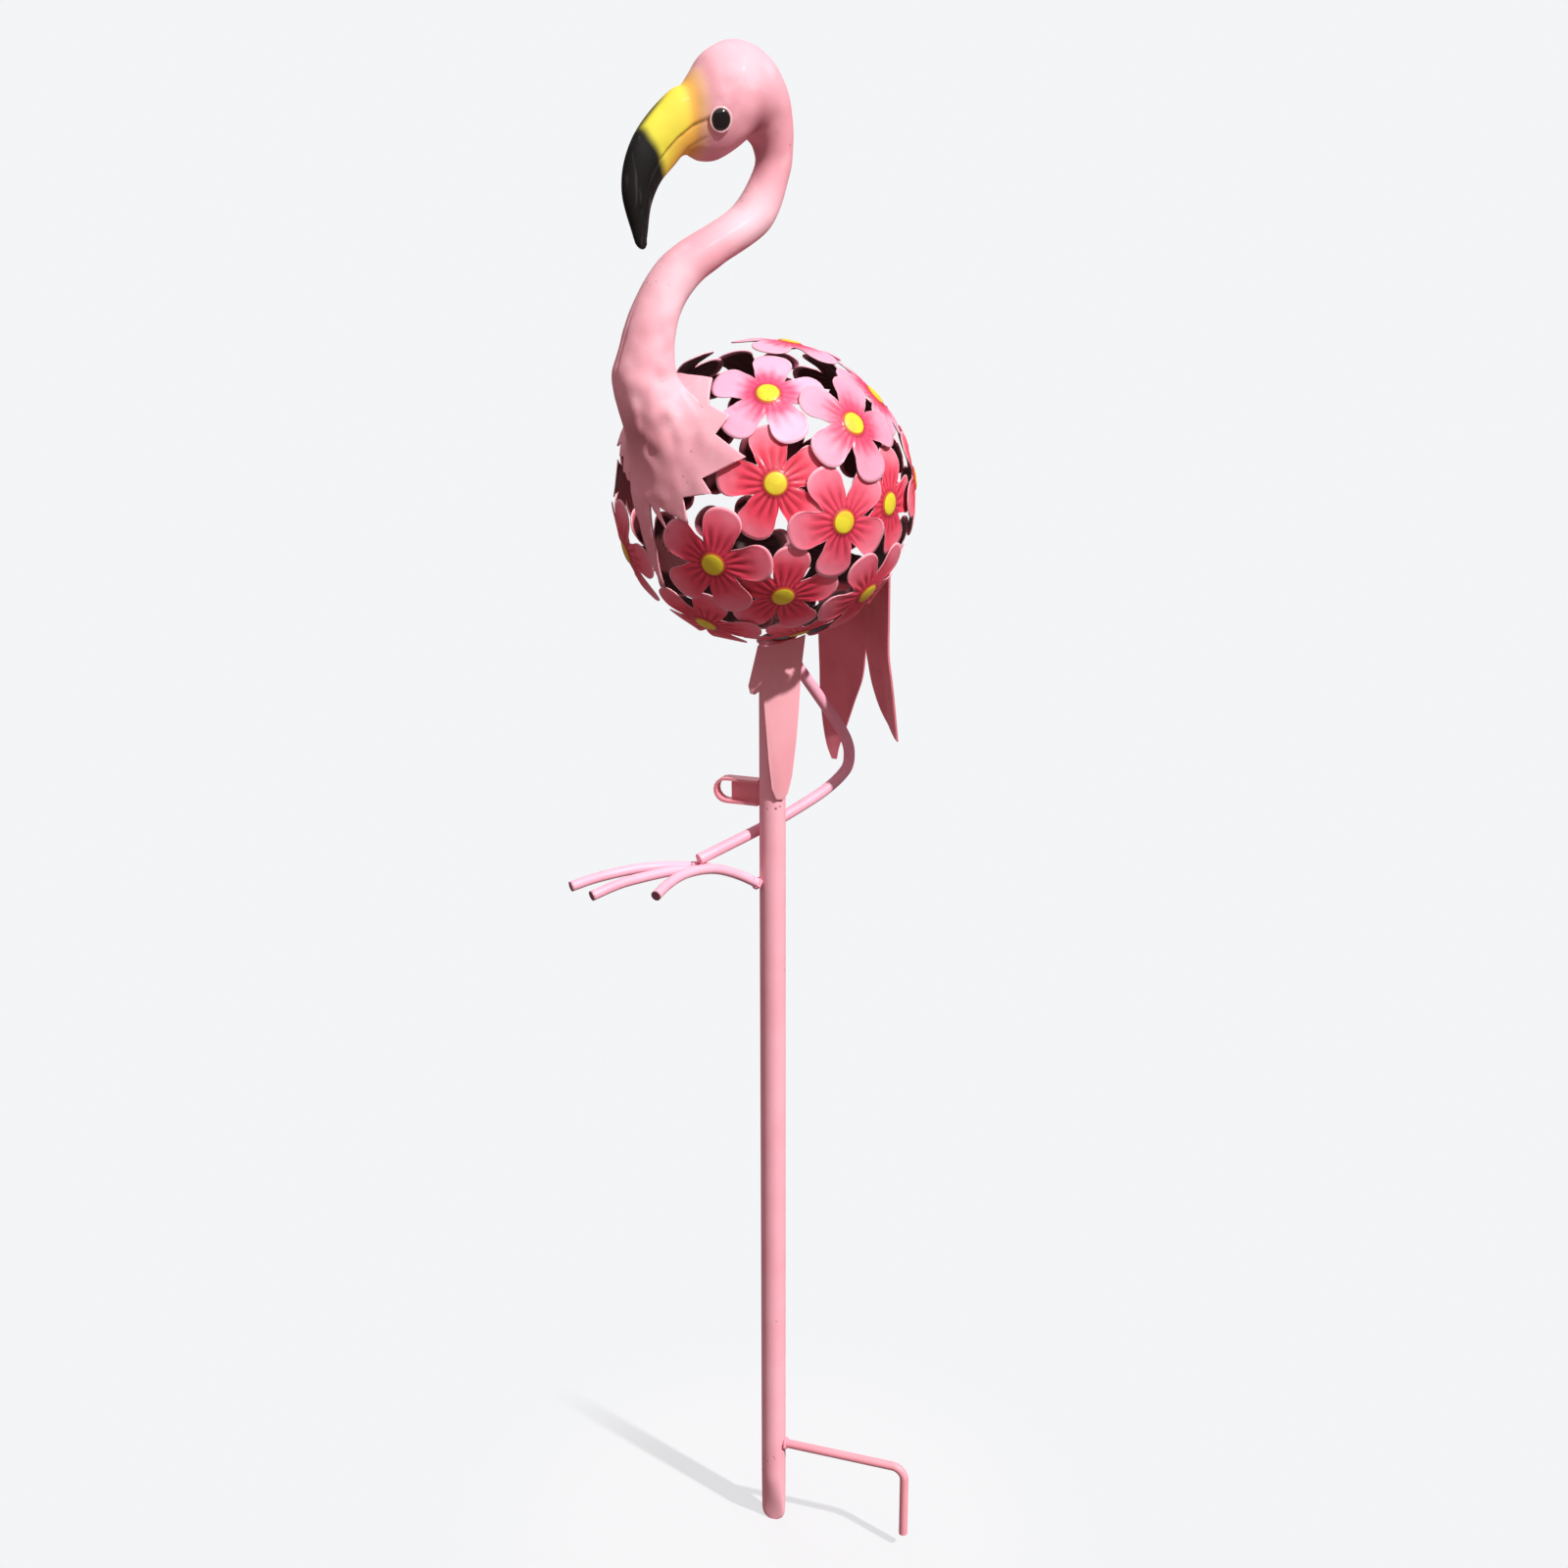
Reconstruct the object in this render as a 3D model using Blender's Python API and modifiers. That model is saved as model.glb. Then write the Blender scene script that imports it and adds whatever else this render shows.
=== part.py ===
"""Flamingo garden stake: a painted sheet-metal bird with an openwork ball of flowers for a body.

Metres, +Z up. The bird faces -X and its left side faces -Y. The origin is on the stake tube's
axis at the soil line, where the underside of the foot prong comes to rest on the ground.
"""
import math

import bmesh
import bpy
from mathutils import Vector

# Stake and rods
TUBE_DIAMETER = 0.017
TUBE_BELOW_SOIL = 0.061
TUBE_SIDES = 24
PINCH_LENGTH = 0.042
PINCH_THICKNESS = 0.005
PINCH_ROUNDING = 0.009
TIP_FLAT_WIDTH = 0.008
PRONG_DIAMETER = 0.006
PRONG_REACH = 0.097
PRONG_BEND_RADIUS = 0.009
PRONG_DROP = 0.050
PRONG_HEADING = math.radians(-52.5)
WELD_GAP = 0.0003

# Ball of flowers; a flower's diameter is a share of the ball's, so that the flowers always lap
BALL_DIAMETER = 0.185
BALL_CENTRE_HEIGHT = 0.679
BALL_FORWARD = 0.006
FLOWER_SHARE = 0.385
PETALS = 5
PETAL_SHEET = 0.0009
LAP_GAP = 0.0005
BUTTON_HEIGHT = 0.0013
BUTTON_SHARE = 0.19
NOTCH_SHARE = 0.40
WAIST_SHARE = 0.62
PETAL_SIDE_SHARE = 0.75
PETAL_SHOULDER_SHARE = 0.63
PETAL_TIP_SHARE = 0.32
TIP_BLUNTNESS = 2.5
LAP_SAMPLES = 24

# Head, neck and breast, whose form is in shares of the ball's radius
BREAST_SHEET = 0.0012
BREAST_LIFT = 0.0007
RING_SPACING = 0.015
BREAST_ROWS = 6
FEATHER_ROWS = 3
BEAK_TIP_PLACE = (-0.883, 1.575)

# Tail, thigh plate, bent leg and toes
TAIL_SHEET = 0.0012
TAIL_RADIUS_SHARE = 0.845
TAIL_FORK_SHARE = 1.092
TAIL_COLUMNS = 4
THIGH_SHEET = 0.0015
THIGH_TOP_SPANS = 6
LEG_DIAMETER = 0.0075
LEG_STEPS = 2
TOE_DIAMETER = 0.0065
TOE_LENGTH = 0.085
TOE_STEPS = 3
HIND_TOE_DROP = 0.013
HIND_TOE_SLOPE = math.radians(33.0)
HIND_TOE_SHIFT = -1.5

# Loop bracket behind the thigh plate's lower end, in the crook of the bent leg, so its place is in
# ball radii below the ball's middle, as the leg's is
BRACKET_DOWN_SHARE = 2.0865
BRACKET_REACH = 0.0393
BRACKET_OUTER_HEIGHT = 0.017
BRACKET_STRIP = 0.0018
BRACKET_WIDTH = 0.008
BRACKET_WEB_REACH = 0.0289

BALL_RADIUS = BALL_DIAMETER / 2.0
TUBE_RADIUS = TUBE_DIAMETER / 2.0
BALL_CENTRE = Vector((-BALL_FORWARD, 0.0, BALL_CENTRE_HEIGHT))
LEVEL_STEP = PETAL_SHEET + LAP_GAP
FLOWER_DIAMETER = FLOWER_SHARE * BALL_DIAMETER
BRACKET_HEIGHT = BALL_CENTRE_HEIGHT - BRACKET_DOWN_SHARE * BALL_RADIUS

PINK = (0.93, 0.42, 0.48, 1.0)
ROSE = (0.90, 0.16, 0.24, 1.0)

# Flower places on the ball: degrees round from the front towards the bird's left, degrees up
# from the ball's middle, and the turn of the first petal from straight up.
FLOWER_PLACES = (
    (150, 80, 10),
    (60, 47, 8), (99, 32, 26), (140, 42, 20), (-172, 44, 0), (-116, 45, 30), (-62, 46, 12),
    (62, 12, -8), (88, -3, -27), (113, 1, 12), (147, 6, 34), (-177, 5, 10), (-134, 6, 0),
    (-90, 8, 20), (-47, 4, 9),
    (-16, -20, 24), (38, -18, 17), (66, -33, 8), (112, -35, 30), (157, -32, 0), (-157, -33, 30),
    (-111, -30, 50), (-62, -30, 20),
    (19, -52, 36), (98, -68, 12), (-165, -67, 40), (-78, -64, 0),
)

# Stations from the beak's tip to the neck's foot, in ball radii from the ball's centre:
# forward and up place of the middle, tilt of the section in degrees, half height, half width.
BODY_STATIONS = (
    (-0.895, 1.643, -7, 0.046, 0.028),
    (-0.913, 1.891, -25, 0.110, 0.062),
    (-0.835, 2.106, -51, 0.155, 0.086),
    (-0.652, 2.299, -82, 0.200, 0.116),
    (-0.568, 2.341, -88, 0.208, 0.124),
    (-0.505, 2.379, -92, 0.262, 0.165),
    (-0.428, 2.423, -95, 0.327, 0.215),
    (-0.286, 2.461, -101, 0.364, 0.262),
    (-0.129, 2.462, -110, 0.313, 0.245),
    (0.001, 2.404, -129, 0.214, 0.185),
    (0.052, 2.306, -149, 0.164, 0.150),
    (0.079, 2.177, -176, 0.126, 0.126),
    (0.064, 2.031, -189, 0.117, 0.117),
    (-0.097, 1.754, -208, 0.140, 0.140),
    (-0.461, 1.547, -207, 0.155, 0.155),
    (-0.634, 1.425, -206, 0.150, 0.150),
    (-0.771, 1.247, -193, 0.152, 0.152),
    (-0.849, 1.053, -181, 0.168, 0.168),
    (-0.884, 0.886, -180, 0.190, 0.190),
)

# The breast's cut feather edge on the bird's left and right, each from the nape round to the front
# seam: degrees round from the front, degrees up, and whether the place is a notch between feathers.
# Both have the same number of places. The right one is cut higher, and has no long front feather.
LEFT_FEATHER_EDGE = (
    (0, 53, True), (27, 52, False), (32, 40, True), (43, 36, False), (38, 29, True),
    (51, 21, False), (35, 13, True), (39, 8, False), (28, 6, True), (30, -3, False),
    (17, 2, True), (21, -7, False), (13, 3, True), (14, -14, False), (11, -31, False),
    (7, -6, False), (0, 9, True),
)
RIGHT_FEATHER_EDGE = (
    (0, 53, True), (27, 52, False), (32, 40, True), (43, 36, False), (38, 31, True),
    (48, 28, False), (35, 26, True), (36, 21, False), (27, 24, True), (25, 19, False),
    (18, 21.5, True), (14, 16.5, False), (9, 17, True), (6, 11.5, False), (4, 11.5, False),
    (2, 9.5, False), (0, 9, True),
)
FEATHER_ROOT = Vector((8.0, 27.0))
FEATHER_ROOT_SHARE = 0.10

# Thigh plate, in ball radii: back of the tube's axis, and down from the ball's middle. The two
# top corners are places back only, because the plate's top follows the ball.
THIGH_TOP = (-0.178, 0.200)
THIGH_BACK_EDGE = ((0.163, 1.222), (0.148, 1.470), (0.128, 1.686), (0.092, 1.946), (0.058, 2.065))
THIGH_FOOT = (0.024, 2.108)
THIGH_FRONT_EDGE = (
    (-0.039, 2.097), (-0.076, 2.011), (-0.102, 1.805), (-0.141, 1.362),
    (-0.164, 1.308), (-0.211, 1.330), (-0.240, 1.319), (-0.255, 1.265),
)

# Bent leg's middle line, in ball radii: back of the tube's axis, down from the ball's middle.
LEG_ROUTE = (
    (0.133, 1.017), (0.333, 1.292), (0.474, 1.481), (0.628, 1.692), (0.716, 1.838), (0.742, 1.957),
    (0.708, 2.065), (0.525, 2.188), (0.195, 2.317), (-0.027, 2.382), (-0.519, 2.514),
)

# Toe rods from the leg's end: back in toe lengths, to the bird's right in rod spacings, and up
# in toe lengths.
FAR_TOE = (
    (0.05, 1.0, 0.0), (-0.07, 1.02, 0.018), (-0.264, 1.2, 0.052), (-0.5, 1.8, 0.056),
    (-0.778, 2.3, 0.033), (-0.978, 2.6, -0.004),
)
MIDDLE_TOE = (
    (0.08, 0.0, -0.003), (-0.07, 0.0, 0.010), (-0.238, 0.0, 0.038), (-0.58, 0.0, 0.031),
    (-0.739, 0.0, 0.012), (-0.915, 0.0, -0.027),
)
NEAR_TOE = (
    (-0.539, -3.6, -0.014), (-0.397, -2.6, 0.021), (-0.24, -1.8, 0.045), (-0.069, -1.2, 0.040),
    (0.085, -1.0, 0.017), (0.21, -1.0, -0.027), (0.326, -1.2, -0.083),
)

# Tail feathers on the bird's left and right: degrees round from the back at the outer edge and
# at the fork's side, then down from the ball's middle and out behind the tail's round, both in
# ball radii. Both feathers sweep back.
TAIL_FEATHERS = (
    ((-31, 0, 1.092, 0.0), (-32, -0.5, 1.27, 0.025), (-32, -3, 1.44, 0.049), (-32, -11, 1.63, 0.073),
     (-31.5, -26, 1.725, 0.084)),
    ((30, 0, 1.092, 0.0), (31, 4.5, 1.355, 0.028), (32, 11.5, 1.57, 0.051), (32, 19, 1.785, 0.077),
     (31, 24, 1.94, 0.094), (28.5, 26, 2.05, 0.101)),
)


def clear_scene():
    for item in list(bpy.data.objects):
        bpy.data.objects.remove(item, do_unlink=True)


def new_collection(name):
    collection = bpy.data.collections.new(name)
    bpy.context.scene.collection.children.link(collection)
    return collection


def painted_metal(name, colour, roughness):
    material = bpy.data.materials.new(name)
    material.use_nodes = True
    shader = material.node_tree.nodes["Principled BSDF"]
    shader.inputs["Base Color"].default_value = colour
    shader.inputs["Roughness"].default_value = roughness
    shader.inputs["Metallic"].default_value = 0.1
    material.diffuse_color = colour
    return material


def ball_direction(round_degrees, up_degrees):
    """Unit vector from the ball's centre, turned from the front towards the bird's left."""
    turn = math.radians(round_degrees)
    rise = math.radians(up_degrees)
    return Vector((-math.cos(rise) * math.cos(turn), -math.cos(rise) * math.sin(turn), math.sin(rise)))


def catmull(before, start, end, after, share):
    """A point on the smooth curve from start to end that also heeds its two neighbours."""
    return (
        start * 2.0
        + (end - before) * share
        + (before * 2.0 - start * 5.0 + end * 4.0 - after) * share ** 2
        + (start * 3.0 - before - end * 3.0 + after) * share ** 3
    ) * 0.5


def smooth_path(points, spans):
    """Points on a smooth curve through the given ones, with a number of spans for each pair."""
    padded = [points[0] * 2.0 - points[1]] + list(points) + [points[-1] * 2.0 - points[-2]]
    path = []
    for index, steps in enumerate(spans):
        for step in range(steps):
            path.append(catmull(*padded[index:index + 4], step / steps))
    path.append(points[-1].copy())
    return path


def mesh_object(name, vertices, faces, material, collection):
    mesh = bpy.data.meshes.new(name)
    mesh.from_pydata([tuple(vertex) for vertex in vertices], [], faces)
    work = bmesh.new()
    work.from_mesh(mesh)
    bmesh.ops.recalc_face_normals(work, faces=work.faces)
    work.to_mesh(mesh)
    work.free()
    mesh.materials.append(material)
    piece = bpy.data.objects.new(name, mesh)
    collection.objects.link(piece)
    return piece


def curve_object(name, kind, material, collection):
    curve = bpy.data.curves.new(name, "CURVE")
    curve.dimensions = kind
    curve.materials.append(material)
    piece = bpy.data.objects.new(name, curve)
    collection.objects.link(piece)
    return piece


def fill_spline(curve, points, cyclic):
    spline = curve.splines.new("POLY")
    spline.points.add(len(points) - 1)
    for place, point in zip(spline.points, points):
        place.co = (*point, 1.0)
    spline.use_cyclic_u = cyclic


def rod(name, points, diameter, material, collection):
    """A round rod along the given points, with flat cut ends."""
    piece = curve_object(name, "3D", material, collection)
    piece.data.bevel_depth = diameter / 2.0
    piece.data.bevel_resolution = 2
    piece.data.use_fill_caps = True
    fill_spline(piece.data, points, False)
    return piece


def flat_plate(name, outline, thickness, material, collection):
    """A flat plate from an outline in its own X and Y, thick along its own Z."""
    piece = curve_object(name, "2D", material, collection)
    piece.data.fill_mode = "BOTH"
    piece.data.extrude = thickness / 2.0
    fill_spline(piece.data, [(x, y, 0.0) for x, y in outline], True)
    return piece


def stitch_rings(rings):
    """Vertices and quads of a surface through closed rings with the same number of points."""
    sides = len(rings[0])
    vertices = [point for ring in rings for point in ring]
    faces = []
    for ring in range(len(rings) - 1):
        for side in range(sides):
            after = (side + 1) % sides
            low = ring * sides
            high = low + sides
            faces.append((low + side, low + after, high + after, high + side))
    return vertices, faces


def cap_ring(vertices, faces, first, sides, middle):
    """Close a ring of points with a fan to a middle point."""
    vertices.append(middle)
    centre = len(vertices) - 1
    for side in range(sides):
        faces.append((first + side, first + (side + 1) % sides, centre))


def petal_reach(angle):
    """Outline of a flower as a share of its radius, for an angle from a petal's middle line."""
    share = min(abs(angle) / (math.pi / PETALS), 1.0)
    if share > PETAL_SIDE_SHARE:
        rise = (1.0 - share) / (1.0 - PETAL_SIDE_SHARE)
        return NOTCH_SHARE + (WAIST_SHARE - NOTCH_SHARE) * rise
    across = share / PETAL_SIDE_SHARE
    return WAIST_SHARE + (1.0 - WAIST_SHARE) * math.sqrt(1.0 - across ** TIP_BLUNTNESS)


def flower_axes(place):
    """Outward, right and up directions of a flower, turned so that up runs along a petal."""
    outward = ball_direction(place[0], place[1])
    up = Vector((0.0, 0.0, 1.0)) - outward * outward.z
    up.normalize()
    right = up.cross(outward)
    turn = math.radians(place[2])
    turned_up = up * math.cos(turn) + right * math.sin(turn)
    turned_right = right * math.cos(turn) - up * math.sin(turn)
    return outward, turned_right, turned_up


def on_ball(axes, angle, reach, radius):
    """A point at an angle round a flower and an arc length out from its middle."""
    outward, right, up = axes
    bend = reach / BALL_RADIUS
    sideways = right * math.sin(angle) + up * math.cos(angle)
    return BALL_CENTRE + (outward * math.cos(bend) + sideways * math.sin(bend)) * radius


def flowers_lap(first, second):
    """True where a petal of one flower lies over or under the other flower."""
    reach = FLOWER_DIAMETER / 2.0
    margin = PETAL_SHEET + LAP_GAP + WELD_GAP
    samples = PETALS * LAP_SAMPLES
    for one, other in ((flower_axes(first), flower_axes(second)), (flower_axes(second), flower_axes(first))):
        for sample in range(samples):
            angle = 2.0 * math.pi * sample / samples
            petal = math.pi / PETALS
            from_middle = (angle + petal) % (2.0 * petal) - petal
            edge = on_ball(one, angle, reach * petal_reach(from_middle), BALL_RADIUS)
            toward = (edge - BALL_CENTRE).normalized()
            away = math.acos(max(-1.0, min(1.0, toward.dot(other[0])))) * BALL_RADIUS
            if away > reach + margin:
                continue
            seen = math.atan2(toward.dot(other[1]), toward.dot(other[2]))
            seen_from_middle = (seen + petal) % (2.0 * petal) - petal
            if away < reach * petal_reach(seen_from_middle) + margin:
                return True
    return False


def flower_levels(places):
    """Depth level of each flower: flowers that lap each other never share a level."""
    levels = []
    for index, place in enumerate(places):
        taken = {levels[other] for other in range(index) if flowers_lap(place, places[other])}
        level = 0
        while level in taken:
            level += 1
        levels.append(level)
    return levels


def flower_side(axes, radius, button):
    """Points of one side of a flower: middle, any raised button, hub ring, each petal's two rows."""
    reach = FLOWER_DIAMETER / 2.0
    petal = math.pi / PETALS
    steps = 2 * PETALS
    points = [on_ball(axes, 0.0, 0.0, radius + (BUTTON_HEIGHT if button else 0.0))]
    if button:
        for step in range(steps):
            points.append(on_ball(axes, petal * step, reach * BUTTON_SHARE, radius + BUTTON_HEIGHT))
    for step in range(steps):
        points.append(on_ball(axes, petal * step, reach * NOTCH_SHARE, radius))
    for leaf in range(PETALS):
        middle = 2.0 * petal * leaf
        for share in (-PETAL_SIDE_SHARE, 0.0, PETAL_SIDE_SHARE):
            points.append(on_ball(axes, middle + petal * share, reach * WAIST_SHARE, radius))
        for share in (-PETAL_SHOULDER_SHARE, -PETAL_TIP_SHARE, PETAL_TIP_SHARE, PETAL_SHOULDER_SHARE):
            angle = petal * share
            points.append(on_ball(axes, middle + angle, reach * petal_reach(angle), radius))
    return points


def flower_faces(button, first):
    """Faces of one side of a flower and the loop of its outer edge, numbered on from first."""
    steps = 2 * PETALS
    hub_first = first + 1 + (steps if button else 0)
    faces = []
    edge = []
    for step in range(steps):
        after = (step + 1) % steps
        faces.append((first, first + 1 + step, first + 1 + after))
        if button:
            faces.append((first + 1 + step, hub_first + step, hub_first + after, first + 1 + after))
    for leaf in range(PETALS):
        hub = [hub_first + (2 * leaf + shift) % steps for shift in (-1, 0, 1)]
        row = hub_first + steps + 7 * leaf
        middle = [row, row + 1, row + 2]
        tip = [row + 3, row + 4, row + 5, row + 6]
        faces.append((hub[0], middle[0], middle[1], hub[1]))
        faces.append((hub[1], middle[1], middle[2], hub[2]))
        faces.append((middle[0], tip[0], tip[1], middle[1]))
        faces.append((middle[1], tip[1], tip[2]))
        faces.append((middle[1], tip[2], tip[3], middle[2]))
        edge += [hub[0], middle[0]] + tip + [middle[2]]
    return faces, edge


def make_flowers(collection, material):
    """Stamped sheet flowers bent to the ball, lapped on levels a sheet and a gap apart."""
    levels = flower_levels(FLOWER_PLACES)
    for index, (place, level) in enumerate(zip(FLOWER_PLACES, levels)):
        axes = flower_axes(place)
        outer_radius = BALL_RADIUS - level * LEVEL_STEP
        outer = flower_side(axes, outer_radius, True)
        inner = flower_side(axes, outer_radius - PETAL_SHEET, False)
        outer_faces, outer_edge = flower_faces(True, 0)
        inner_faces, inner_edge = flower_faces(False, len(outer))
        faces = outer_faces + [tuple(reversed(face)) for face in inner_faces]
        for corner in range(len(outer_edge)):
            after = (corner + 1) % len(outer_edge)
            faces.append((outer_edge[corner], outer_edge[after], inner_edge[after], inner_edge[corner]))
        mesh_object("flower_%02d" % (index + 1), outer + inner, faces, material, collection)


def body_ring(station, sides):
    """One ring of the head and neck: an ellipse across the bird, tilted in its middle plane."""
    forward, up, tilt, half_height, half_width = station
    middle = BALL_CENTRE + Vector((forward, 0.0, up)) * BALL_RADIUS
    lean = math.radians(tilt)
    belly = Vector((math.cos(lean), 0.0, math.sin(lean)))
    left = Vector((0.0, -1.0, 0.0))
    ring = []
    for side in range(sides):
        angle = 2.0 * math.pi * side / sides
        along = belly * math.cos(angle) * half_height
        across = left * math.sin(angle) * half_width
        ring.append(middle + (along + across) * BALL_RADIUS)
    return ring


def side_directions(places):
    """One side's feather edge and the smooth line through its notches, front seam to nape."""
    half = [Vector(place[:2]) for place in reversed(places)]
    notches = [index for index, place in enumerate(reversed(places)) if place[2]]
    rooted = {index: half[index].lerp(FEATHER_ROOT, FEATHER_ROOT_SHARE) for index in notches}
    rooted[notches[0]].x = 0.0
    rooted[notches[-1]].x = 0.0
    base = []
    for low, high in zip(notches, notches[1:]):
        for index in range(low, high):
            base.append(rooted[low].lerp(rooted[high], (index - low) / (high - low)))
    base.append(rooted[notches[-1]])
    return half, base


def edge_directions():
    """Feather edge and the line through its notches, once round from the front seam."""
    near, near_base = side_directions(LEFT_FEATHER_EDGE)
    right, right_base = side_directions(RIGHT_FEATHER_EDGE)
    far = [Vector((-point.x, point.y)) for point in reversed(right[1:-1])]
    far_base = [Vector((-point.x, point.y)) for point in reversed(right_base[1:-1])]
    return near + far, near_base + far_base


def breast_rows(last_ring, previous_ring, radius):
    """Rows of the breast, each line leaving the neck smoothly and landing on the ball."""
    edge, base = edge_directions()
    rows = []
    for row in range(1, BREAST_ROWS + 1):
        share = row / BREAST_ROWS
        ring = []
        for start, before, landing in zip(last_ring, previous_ring, base):
            end = BALL_CENTRE + ball_direction(landing.x, landing.y) * radius
            span = (end - start).length
            leave = (start - before).normalized() * span
            outward = (end - BALL_CENTRE).normalized()
            arrive = (end - start) - outward * (end - start).dot(outward)
            arrive = arrive.normalized() * span
            point = (
                start * (2 * share ** 3 - 3 * share ** 2 + 1)
                + leave * (share ** 3 - 2 * share ** 2 + share)
                + end * (3 * share ** 2 - 2 * share ** 3)
                + arrive * (share ** 3 - share ** 2)
            )
            away = point - BALL_CENTRE
            if away.length < radius:
                point = BALL_CENTRE + away.normalized() * radius
            ring.append(point)
        rows.append(ring)
    for step in range(1, FEATHER_ROWS + 1):
        share = step / FEATHER_ROWS
        places = [start.lerp(tip, share) for start, tip in zip(base, edge)]
        rows.append([BALL_CENTRE + ball_direction(*place) * radius for place in places])
    return rows


def make_head_neck_breast(collection, material):
    """One welded shell: beak, head and neck, which flares into a breast cut into feathers."""
    sides = 2 * (len(LEFT_FEATHER_EDGE) - 1)
    stations = [Vector(station) for station in BODY_STATIONS]
    lengths = [math.dist(one[:2], other[:2]) * BALL_RADIUS for one, other in zip(stations, stations[1:])]
    spans = [math.ceil(length / RING_SPACING) for length in lengths]
    rings = [body_ring(station, sides) for station in smooth_path(stations, spans)]
    skin = BALL_RADIUS + BREAST_LIFT
    outer = rings + breast_rows(rings[-1], rings[-2], skin + BREAST_SHEET)
    foot = BODY_STATIONS[-1]
    neck_middle = BALL_CENTRE + Vector((foot[0], 0.0, foot[1])) * BALL_RADIUS
    shrink = 1.0 - BREAST_SHEET / (foot[3] * BALL_RADIUS)
    bore = [[neck_middle + (point - neck_middle) * shrink for point in ring] for ring in rings[-1:]]
    before = [[neck_middle + (point - neck_middle) * shrink for point in rings[-2]]]
    inner = bore + breast_rows(bore[0], before[0], skin)
    vertices, faces = stitch_rings(outer + inner[::-1])
    tip = BALL_CENTRE + Vector((BEAK_TIP_PLACE[0], 0.0, BEAK_TIP_PLACE[1])) * BALL_RADIUS
    last = len(vertices) - sides
    cap_ring(vertices, faces, 0, sides, tip)
    cap_ring(vertices, faces, last, sides, neck_middle)
    mesh_object("head_neck_breast", vertices, faces, material, collection)


def make_stake_tube(collection, material):
    """The tube, round down to the pinch, then pressed flat and rounded off at its tip."""
    top = BALL_CENTRE.z - BALL_RADIUS - WELD_GAP
    heights = [(top, 0.0), (-TUBE_BELOW_SOIL + PINCH_LENGTH, 0.0)]
    steps = 6
    for step in range(1, steps + 1):
        share = step / steps
        heights.append((-TUBE_BELOW_SOIL + PINCH_LENGTH * (1.0 - share), share))
    heading = Vector((math.cos(PRONG_HEADING), math.sin(PRONG_HEADING), 0.0))
    across = Vector((-heading.y, heading.x, 0.0))
    rings = []
    for height, pinch in heights:
        ease = pinch * pinch * (3.0 - 2.0 * pinch)
        from_tip = height + TUBE_BELOW_SOIL
        wide = TUBE_RADIUS
        if from_tip < PINCH_ROUNDING:
            drop = 1.0 - from_tip / PINCH_ROUNDING
            wide = TIP_FLAT_WIDTH / 2.0 + (TUBE_RADIUS - TIP_FLAT_WIDTH / 2.0) * math.sqrt(1.0 - drop ** 2)
        thick = TUBE_RADIUS + (PINCH_THICKNESS / 2.0 - TUBE_RADIUS) * ease
        ring = []
        for side in range(TUBE_SIDES):
            angle = 2.0 * math.pi * side / TUBE_SIDES
            spot = heading * math.cos(angle) * wide + across * math.sin(angle) * thick
            ring.append(spot + Vector((0.0, 0.0, height)))
        rings.append(ring)
    vertices, faces = stitch_rings(rings)
    faces.append(tuple(range(TUBE_SIDES)))
    faces.append(tuple(range(len(vertices) - TUBE_SIDES, len(vertices))))
    mesh_object("stake_tube", vertices, faces, material, collection)


def make_foot_prong(collection, material):
    """The step: a rod out from the tube at the soil line, then bent down beside the tip."""
    radius = PRONG_DIAMETER / 2.0
    heading = Vector((math.cos(PRONG_HEADING), math.sin(PRONG_HEADING), 0.0))
    start = TUBE_RADIUS + WELD_GAP
    bend = PRONG_REACH - PRONG_BEND_RADIUS
    points = [heading * start + Vector((0.0, 0.0, radius))]
    turns = 6
    for step in range(turns + 1):
        angle = math.pi / 2.0 * step / turns
        out = bend + PRONG_BEND_RADIUS * math.sin(angle)
        height = radius - PRONG_BEND_RADIUS * (1.0 - math.cos(angle))
        points.append(heading * out + Vector((0.0, 0.0, height)))
    points.append(heading * PRONG_REACH + Vector((0.0, 0.0, -PRONG_DROP)))
    rod("foot_prong", points, PRONG_DIAMETER, material, collection)


def make_thigh_plate(collection, material):
    """A flat tapered plate on the tube's left side, with one feather tip at its front edge."""
    side = TUBE_RADIUS + WELD_GAP + THIGH_SHEET / 2.0
    top_radius = BALL_RADIUS + WELD_GAP
    outline = []
    for step in range(THIGH_TOP_SPANS + 1):
        share = THIGH_TOP[0] + (THIGH_TOP[1] - THIGH_TOP[0]) * step / THIGH_TOP_SPANS
        x = share * BALL_RADIUS
        height = BALL_CENTRE.z - math.sqrt(top_radius ** 2 - (x + BALL_FORWARD) ** 2 - side ** 2)
        outline.append((x, height - WELD_GAP))
    for back, down in THIGH_BACK_EDGE + (THIGH_FOOT,) + THIGH_FRONT_EDGE:
        outline.append((back * BALL_RADIUS, BALL_CENTRE.z - down * BALL_RADIUS))
    plate = flat_plate("thigh_plate", outline, THIGH_SHEET, material, collection)
    plate.rotation_euler = (math.pi / 2.0, 0.0, 0.0)
    plate.location = (0.0, -side, 0.0)


def make_bent_leg(collection, material):
    """The folded leg: a rod from under the ball, back and down, round the heel and forward."""
    side = TUBE_RADIUS + LEG_DIAMETER / 2.0 + WELD_GAP
    points = []
    for back, down in LEG_ROUTE:
        points.append(Vector((back * BALL_RADIUS, side, BALL_CENTRE.z - down * BALL_RADIUS)))
    path = smooth_path(points, [LEG_STEPS] * (len(points) - 1))
    rod("bent_leg", path, LEG_DIAMETER, material, collection)
    return points[-1]


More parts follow.
